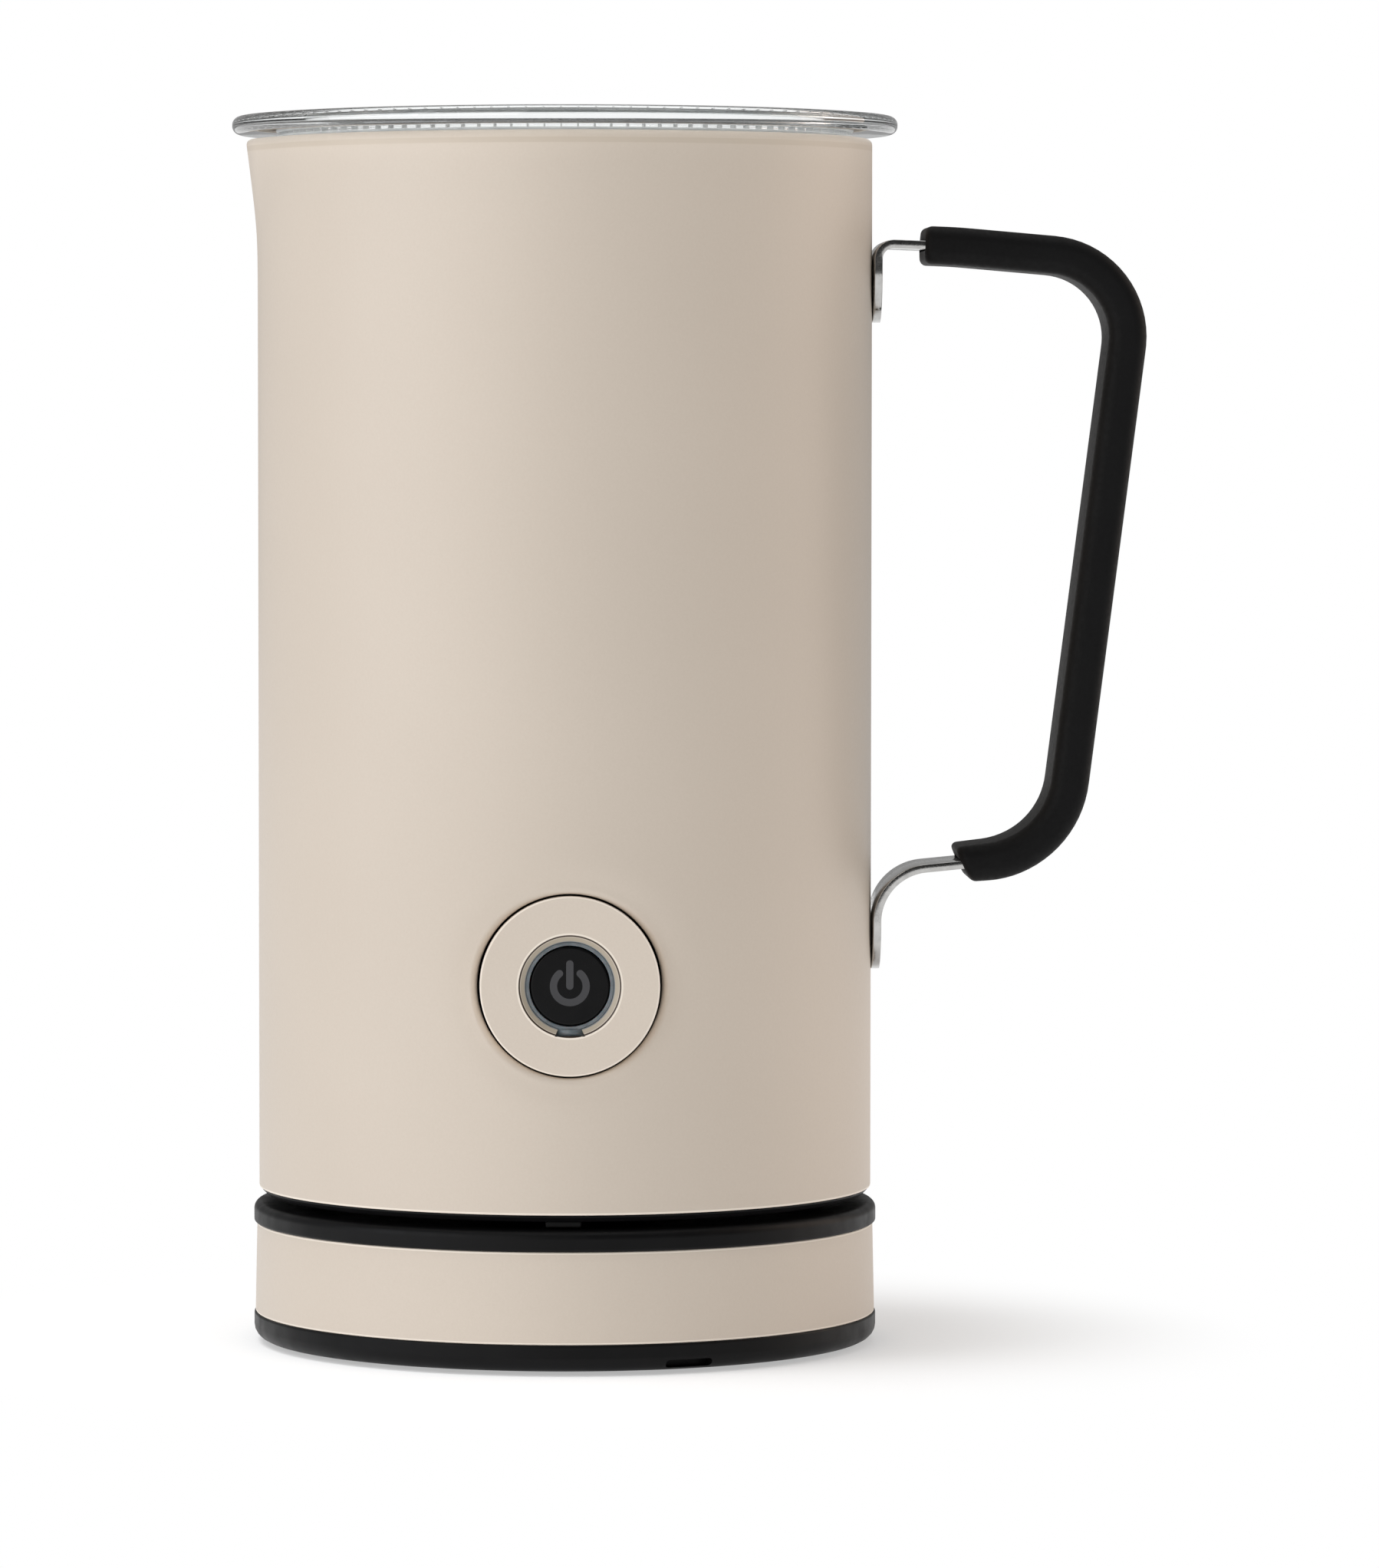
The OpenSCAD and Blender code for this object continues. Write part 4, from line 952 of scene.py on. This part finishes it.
def makeSymbol():
    # an open ring and a bar with round ends, a film of ink on the cap
    front = -symbolLow.y + 0.012
    back = front - symbol["ink"]
    half = symbol["stroke"] / 2
    middle = symbol["outer"] - half
    first = math.radians(90 + symbol["openDeg"])
    last = first + math.radians(360 - 2 * symbol["openDeg"])
    atFirst = (middle * math.cos(first), middle * math.sin(first))
    atLast = (middle * math.cos(last), middle * math.sin(last))
    ring = arcPoints((0, 0), middle + half, first, last, 64)
    ring += arcPoints(atLast, half, last, last + math.pi, 12)[1:-1]
    ring += arcPoints((0, 0), middle - half, last, first, 64)
    ring += arcPoints(atFirst, half, first + math.pi, first + 2 * math.pi, 12)[1:-1]
    bar = arcPoints((0, symbol["barTop"] - half), half, 0, math.pi, 12)
    bar += arcPoints((0, half - symbol["barLow"]), half, math.pi, 2 * math.pi, 12)
    for name, outline in (("symbolRing", ring), ("symbolBar", bar)):
        piece = turnToFront(raised(name, outline, back, front, symbolGrey))
        piece.data.polygons.foreach_set("use_smooth", [False] * len(piece.data.polygons))
        finish(piece, "button", "symbol_grey", *(["power_symbol"] if name == "symbolRing" else []))

makeBezel()
makeGuide()
makeCap()
makeSymbol()
print("button made")


# handle

handle = {
    "strapThick": 1.35, "strapWide": 15.75, "strapEdge": 0.16,
    "gripThick": 6.2, "gripWide": 17.5, "gripCorner": 2.2, "gripStart": 8.3, "gripEnd": 14.6,
    "reachTop": 42.9, "reachLow": 30.6, "height": 98.6, "drop": 20.0,
    "endRound": 1.1, "endLean": 19, "leanOver": 9.0,
    "mouthGap": 0.25,
}

def handleCorners():
    # the strap's centre line turns these corners, each with its bend radius
    x = shellR + 0.02 + handle["strapThick"] / 2
    top = rimZ - handle["drop"]
    low = top - handle["height"]
    return [
        (x, top - 9.7, 0), (x, top + 3.1, 2.5), (shellR + 13.5, top + 2.6, 60),
        (shellR + handle["reachTop"], top, 13.3),
        (shellR + handle["reachLow"], low + 2.4, 15), (x, low - 0.55, 8.8), (x, low - 16.6, 0),
    ]

def centreLine(corners, step=3.0):
    # points with headings, round each corner and then along each straight
    marks = []
    last = len(corners) - 1
    for i, (x, z, r) in enumerate(corners):
        here = Vector((x, z))
        if i in (0, last):
            other = Vector(corners[1][:2]) if i == 0 else Vector(corners[last - 1][:2])
            way = (other - here) if i == 0 else (here - other)
            marks.append((here, math.atan2(way.y, way.x)))
            continue
        into, out = here - Vector(corners[i - 1][:2]), Vector(corners[i + 1][:2]) - here
        first = math.atan2(into.y, into.x)
        turn = math.remainder(math.atan2(out.y, out.x) - first, 2 * math.pi)
        back = r * math.tan(abs(turn) / 2)
        start = here - into.normalized() * back
        side = math.copysign(r, turn)
        centre = start + side * Vector((-math.sin(first), math.cos(first)))
        count = max(2, math.ceil(abs(math.degrees(turn)) / step))
        for k in range(count + 1):
            h = first + turn * k / count
            marks.append((centre + side * Vector((math.sin(h), -math.cos(h))), h))
    filled = [marks[0]]
    for (p, h0), (q, h1) in zip(marks, marks[1:]):
        gap = (q - p).length
        extra = int(gap // 2.0) if abs(h1 - h0) < 1e-6 else 0
        filled += [(p.lerp(q, k / (extra + 1)), h0) for k in range(1, extra + 1)]
        filled.append((q, h1))
    return filled

def along(line, distance):
    # the point and heading at a distance from the start of the line
    run = 0.0
    for (p, h0), (q, h1) in zip(line, line[1:]):
        gap = (q - p).length
        if run + gap >= distance:
            t = (distance - run) / gap
            return p.lerp(q, t), h0 + (h1 - h0) * t
        run += gap
    return line[-1]

def lengthOf(line):
    return sum((q[0] - p[0]).length for p, q in zip(line, line[1:]))

def sectionLoop(mark, thick, wide, corner, steps=5):
    # a rectangle with round corners across the path: thickness in the x-z plane, width along y
    point, h = mark
    normal = Vector((-math.sin(h), math.cos(h)))
    corner = min(corner, thick / 2 - 1e-3, wide / 2 - 1e-3)
    loop = []
    for q, (sx, sy) in enumerate(((1, 1), (-1, 1), (-1, -1), (1, -1))):
        cx, cy = sx * (thick / 2 - corner), sy * (wide / 2 - corner)
        for k in range(steps + 1):
            t = math.pi / 2 * (q + k / steps)
            n, y = cx + corner * math.cos(t), cy + corner * math.sin(t)
            spot = point + normal * n
            loop.append((spot.x, y, spot.y))
    return loop

def makeStrap():
    line = centreLine(handleCorners())
    total, half = lengthOf(line), handle["strapWide"] / 2
    ends = [half * (1 - math.cos(math.pi / 2 * k / 12)) for k in range(13)]
    middle = []
    run = 0.0
    for p, q in zip(line, line[1:]):
        run += (q[0] - p[0]).length
        if half < run < total - half:
            middle.append(run)
    spots = [e for e in ends] + middle + [total - e for e in reversed(ends)]
    sections = []
    for s in spots:
        near = min(s, total - s)
        wide = 2 * math.sqrt(max(half ** 2 - (half - near) ** 2, 0.04)) if near < half else 2 * half
        sections.append(sectionLoop(along(line, s), handle["strapThick"], wide, handle["strapEdge"], 3))
    return finish(sweep("strapBand", sections, strapSteel), "jug", "steel", "handle_strap")

def gripLine():
    line = centreLine(handleCorners())
    startX, endX = shellR + handle["gripStart"], shellR + handle["gripEnd"]
    run, start, end = 0.0, None, None
    for (p, _), (q, _) in zip(line, line[1:]):
        gap = (q - p).length
        if start is None and p.x < startX <= q.x:
            start = run + gap * (startX - p.x) / (q.x - p.x)
        if start is not None and q.x <= endX < p.x:
            end = run + gap * (p.x - endX) / (p.x - q.x)
        run += gap
    return line, start, end

def makeGrip():
    line, start, end = gripLine()
    thick, wide, corner = handle["gripThick"], handle["gripWide"], handle["gripCorner"]
    soft = handle["endRound"]
    quarter = [math.pi / 2 * k / 6 for k in range(7)]
    rings = [(soft * (1 - math.cos(t)), soft * (1 - math.sin(t))) for t in quarter]
    spots = [(start + s, inset) for s, inset in rings]
    count = 110
    spots += [(start + soft + (end - start - 2 * soft) * k / count, 0.0) for k in range(1, count)]
    spots += [(end - s, inset) for s, inset in reversed(rings)]

    def leaning(s):
        # the lower end is cut aslant, and the sections before it turn into that slant
        spot, heading = along(line, s)
        near = max(0.0, 1 - (end - s) / handle["leanOver"])
        return spot, heading + math.radians(handle["endLean"]) * near

    sections = [sectionLoop(leaning(s), thick - 2 * i, wide - 2 * i, corner - i * 0.6, 8) for s, i in spots]
    gap = handle["mouthGap"]
    mouth = (handle["strapThick"] + 2 * gap, handle["strapWide"] + 2 * gap - 0.3, 0.35)
    first = [sectionLoop(along(line, start + s), *mouth, 8) for s in (1.6, 0.25, 0.0)]
    last = [sectionLoop(leaning(end - s), *mouth, 8) for s in (0.0, 0.25, 1.6)]
    sleeve = sweep("gripSleeve", first + sections + last, gripBlack)
    return finish(sleeve, "jug", "grip_rubber", "handle_grip")

makeStrap()
makeGrip()
print("handle made")


# inner pieces: the CAD shape with softened edges

innerLooks = {
    "base_connector": (coverBlack, 0.4), "base_contacts": (brass, 0.1), "rubber_feet": (bareRubber, 0.4),
    "base_screws": (zinc, 0.15), "cord_gland": (bareRubber, 0.3), "base_leads": (brownWire, 0),
    "whisk_post": (wireSteel, 0.2), "heat_plate": (aluminium, 0.3), "heating_element": (sheath, 0.2),
    "temperature_sensor": (zinc, 0.2), "thermal_fuse": (whiteNylon, 0.3), "chassis": (greyNylon, 0.3),
    "motor_bracket": (zinc, 0.15), "motor_can": (zinc, 0.4), "stator_magnets": (ferrite, 0.3),
    "motor_bushes": (bronze, 0.2), "control_board": (board, 0.1), "board_components": (component, 0.3),
    "button_housing": (coverBlack, 0.2), "button_board": (board, 0.1), "tact_switch": (component, 0.15),
    "status_leds": (whiteNylon, 0.15), "jug_connector": (coverBlack, 0.4), "jug_contacts": (brass, 0.15),
    "jug_pads": (bareRubber, 0.2), "jug_screws": (zinc, 0.15), "jug_wiring": (redWire, 0),
    "motor_shaft": (wireSteel, 0.15), "armature": (copper, 0.4), "rotor_disc": (whiteNylon, 0.4),
    "drive_magnets": (nickel, 0.2), "whisk_hub": (coverBlack, 0.5), "whisk_magnets": (nickel, 0.2),
    "whisk_frame": (wireSteel, 0),
}

def softCopy(name, material, edge):
    # a merged copy of the CAD piece, smooth on its round faces and bevelled on its edges
    source = frame["nodes"][name]
    mesh = source.data.copy()
    mesh.materials.clear()
    mesh.materials.append(material)
    work = bmesh.new()
    work.from_mesh(mesh)
    bmesh.ops.remove_doubles(work, verts=work.verts, dist=2e-6)
    bmesh.ops.dissolve_limit(work, angle_limit=math.radians(0.5), verts=work.verts, edges=work.edges)
    bmesh.ops.recalc_face_normals(work, faces=work.faces)
    work.to_mesh(mesh)
    work.free()
    mesh.set_sharp_from_angle(angle=math.radians(32))
    mesh.polygons.foreach_set("use_smooth", [True] * len(mesh.polygons))
    piece = bpy.data.objects.new(name.replace("_", "-") + "-part", mesh)
    bpy.context.scene.collection.objects.link(piece)
    if edge:
        bevel = piece.modifiers.new("edges", "BEVEL")
        bevel.width = edge * mm
        bevel.segments = 2
        bevel.limit_method = "ANGLE"
        bevel.angle_limit = math.radians(40)
        bevel.use_clamp_overlap = True
        plainMesh(piece)
    slot = next(s["material_slot"] for s in frame["record"]["subparts"] if s["node"] == name)
    body = next(b for b, names in frame["record"]["behaviour"]["bodies"].items() if name in names)
    return finish(piece, body, slot, name)

for nodeName, (material, edge) in innerLooks.items():
    softCopy(nodeName, material, edge)
print("inner pieces made")


# studio

studio = {
    "floorRadius": 3.0, "openFrom": 0.055, "openTo": 0.118, "paper": 0.86, "paperLift": 0.43,
    "skyTop": 0.0, "skyBack": 0.37, "skyFront": 0.38, "mirrored": 0.1,
    "floorKey": (-78, 1.6, 0.7, 0.8, 0.8, 17.5, "#FFFFFF"),
}

# azimuth from the front in degrees, height and distance of the middle, width and height, power in watts, colour
panels = {
    "leftPanel": (-70, 0.4, 1.3, 0.9, 1.5, 8.4, "#F5F7FC"),
    "frontPanel": (-35, 0.4, 1.3, 0.9, 1.5, 5.9, "#FBF8F6"),
    "rightPanel": (105, 0.4, 1.3, 0.9, 1.5, 6.9, "#FFE8D6"),
    "overhead": (0, 1.3, 0.05, 1.2, 1.2, 5.2, "#FFFFFF"),
}

def areaLight(name, azimuth, height, distance, wide, high, power, tint):
    data = bpy.data.lights.new(name, "AREA")
    data.shape = "RECTANGLE"
    data.size, data.size_y = wide, high
    data.energy = power
    data.color = linear(tint)[:3]
    lamp = bpy.data.objects.new(name, data)
    bpy.context.scene.collection.objects.link(lamp)
    a = math.radians(azimuth)
    lamp.location = (math.sin(a) * distance, -math.cos(a) * distance, height)
    lamp.rotation_euler = (Vector((0, 0, 0.1)) - lamp.location).to_track_quat("-Z", "Y").to_euler()
    return lamp

def onlyFloor(lamp):
    # this lamp lights the paper alone; the pieces still throw their shadow on it
    group = bpy.data.collections.new("lit by " + lamp.name)
    group.objects.link(bpy.data.objects["sweepPaper"])
    lamp.light_linking.receiver_collection = group

def makeFloor():
    material = bpy.data.materials.new("white sweep paper")
    material.use_nodes = True
    tree = material.node_tree
    shader = tree.nodes["Principled BSDF"]
    fibre = mapped(tree, noise(tree, 0.9, 3.0), 0.3, 0.7, studio["paper"] - 0.01, studio["paper"] + 0.01)
    grey = node(tree, "ShaderNodeCombineColor", inputs={0: fibre, 1: fibre, 2: fibre})
    tree.links.new(grey.outputs[0], shader.inputs["Base Color"])
    shader.inputs["Roughness"].default_value = 0.9
    shader.inputs["Specular IOR Level"].default_value = 0.1
    glow = node(tree, "ShaderNodeEmission", inputs={"Color": (1, 1, 1, 1), "Strength": 1.0})
    away = node(tree, "ShaderNodeVectorMath", {"operation": "LENGTH"}, {0: objectPlace(tree)})
    mask = node(tree, "ShaderNodeMapRange", {"interpolation_type": "SMOOTHSTEP"}, {
        "Value": away.outputs["Value"], "From Min": studio["openFrom"], "From Max": studio["openTo"],
        "To Min": studio["paperLift"], "To Max": 1.0,
    }).outputs[0]
    mix = node(tree, "ShaderNodeMixShader", inputs={0: mask, 1: shader.outputs[0], 2: glow.outputs[0]})
    tree.links.new(mix.outputs[0], tree.nodes["Material Output"].inputs[0])
    r, count = studio["floorRadius"] / mm, 96
    verts = [(0, 0, 0)] + [(*onCircle(r, 360 * k / count), 0) for k in range(count)]
    faces = [(0, 1 + k, 1 + (k + 1) % count) for k in range(count)]
    makeObject("sweepPaper", verts, faces, material, outward=False)

def makeSky(top, back, front):
    # the pieces are lit from behind and before, and mirror less of what is before them
    # seen by the camera or through the lid, the sky is plain white
    world = bpy.data.worlds.new("studio sky")
    world.use_nodes = True
    bpy.context.scene.world = world
    tree = world.node_tree
    place = node(tree, "ShaderNodeTexCoord").outputs["Generated"]
    way = node(tree, "ShaderNodeSeparateXYZ", inputs={0: place})
    upper = mapped(tree, way.outputs["Z"], 0.1, 0.9, 0.0, top)
    rear = mapped(tree, way.outputs["Y"], 0.0, 0.6, 0.0, back)
    near = mapped(tree, way.outputs["Y"], 0.0, -0.6, 0.0, front)
    path = node(tree, "ShaderNodeLightPath")
    dimmed = mapped(tree, path.outputs["Is Glossy Ray"], 0, 1, 1, studio["mirrored"])
    near = maths(tree, "MULTIPLY", near, dimmed)
    total = maths(tree, "ADD", maths(tree, "ADD", upper, rear), near)
    seen = maths(tree, "MAXIMUM", path.outputs["Is Camera Ray"], path.outputs["Is Transmission Ray"])
    strength = node(tree, "ShaderNodeMix", {"data_type": "FLOAT"}, {0: seen, 2: total, 3: 1.0}).outputs[0]
    tree.links.new(strength, tree.nodes["Background"].inputs["Strength"])
    tree.nodes["Background"].inputs["Color"].default_value = (1, 1, 1, 1)
    return world

def makeStudio():
    bpy.context.scene.view_settings.view_transform = "Standard"
    bpy.context.scene.view_settings.look = "None"
    makeFloor()
    makeSky(studio["skyTop"], studio["skyBack"], studio["skyFront"])
    for name, values in panels.items():
        areaLight(name, *values)
    onlyFloor(areaLight("floorKey", *studio["floorKey"]))

makeStudio()
print("studio made")
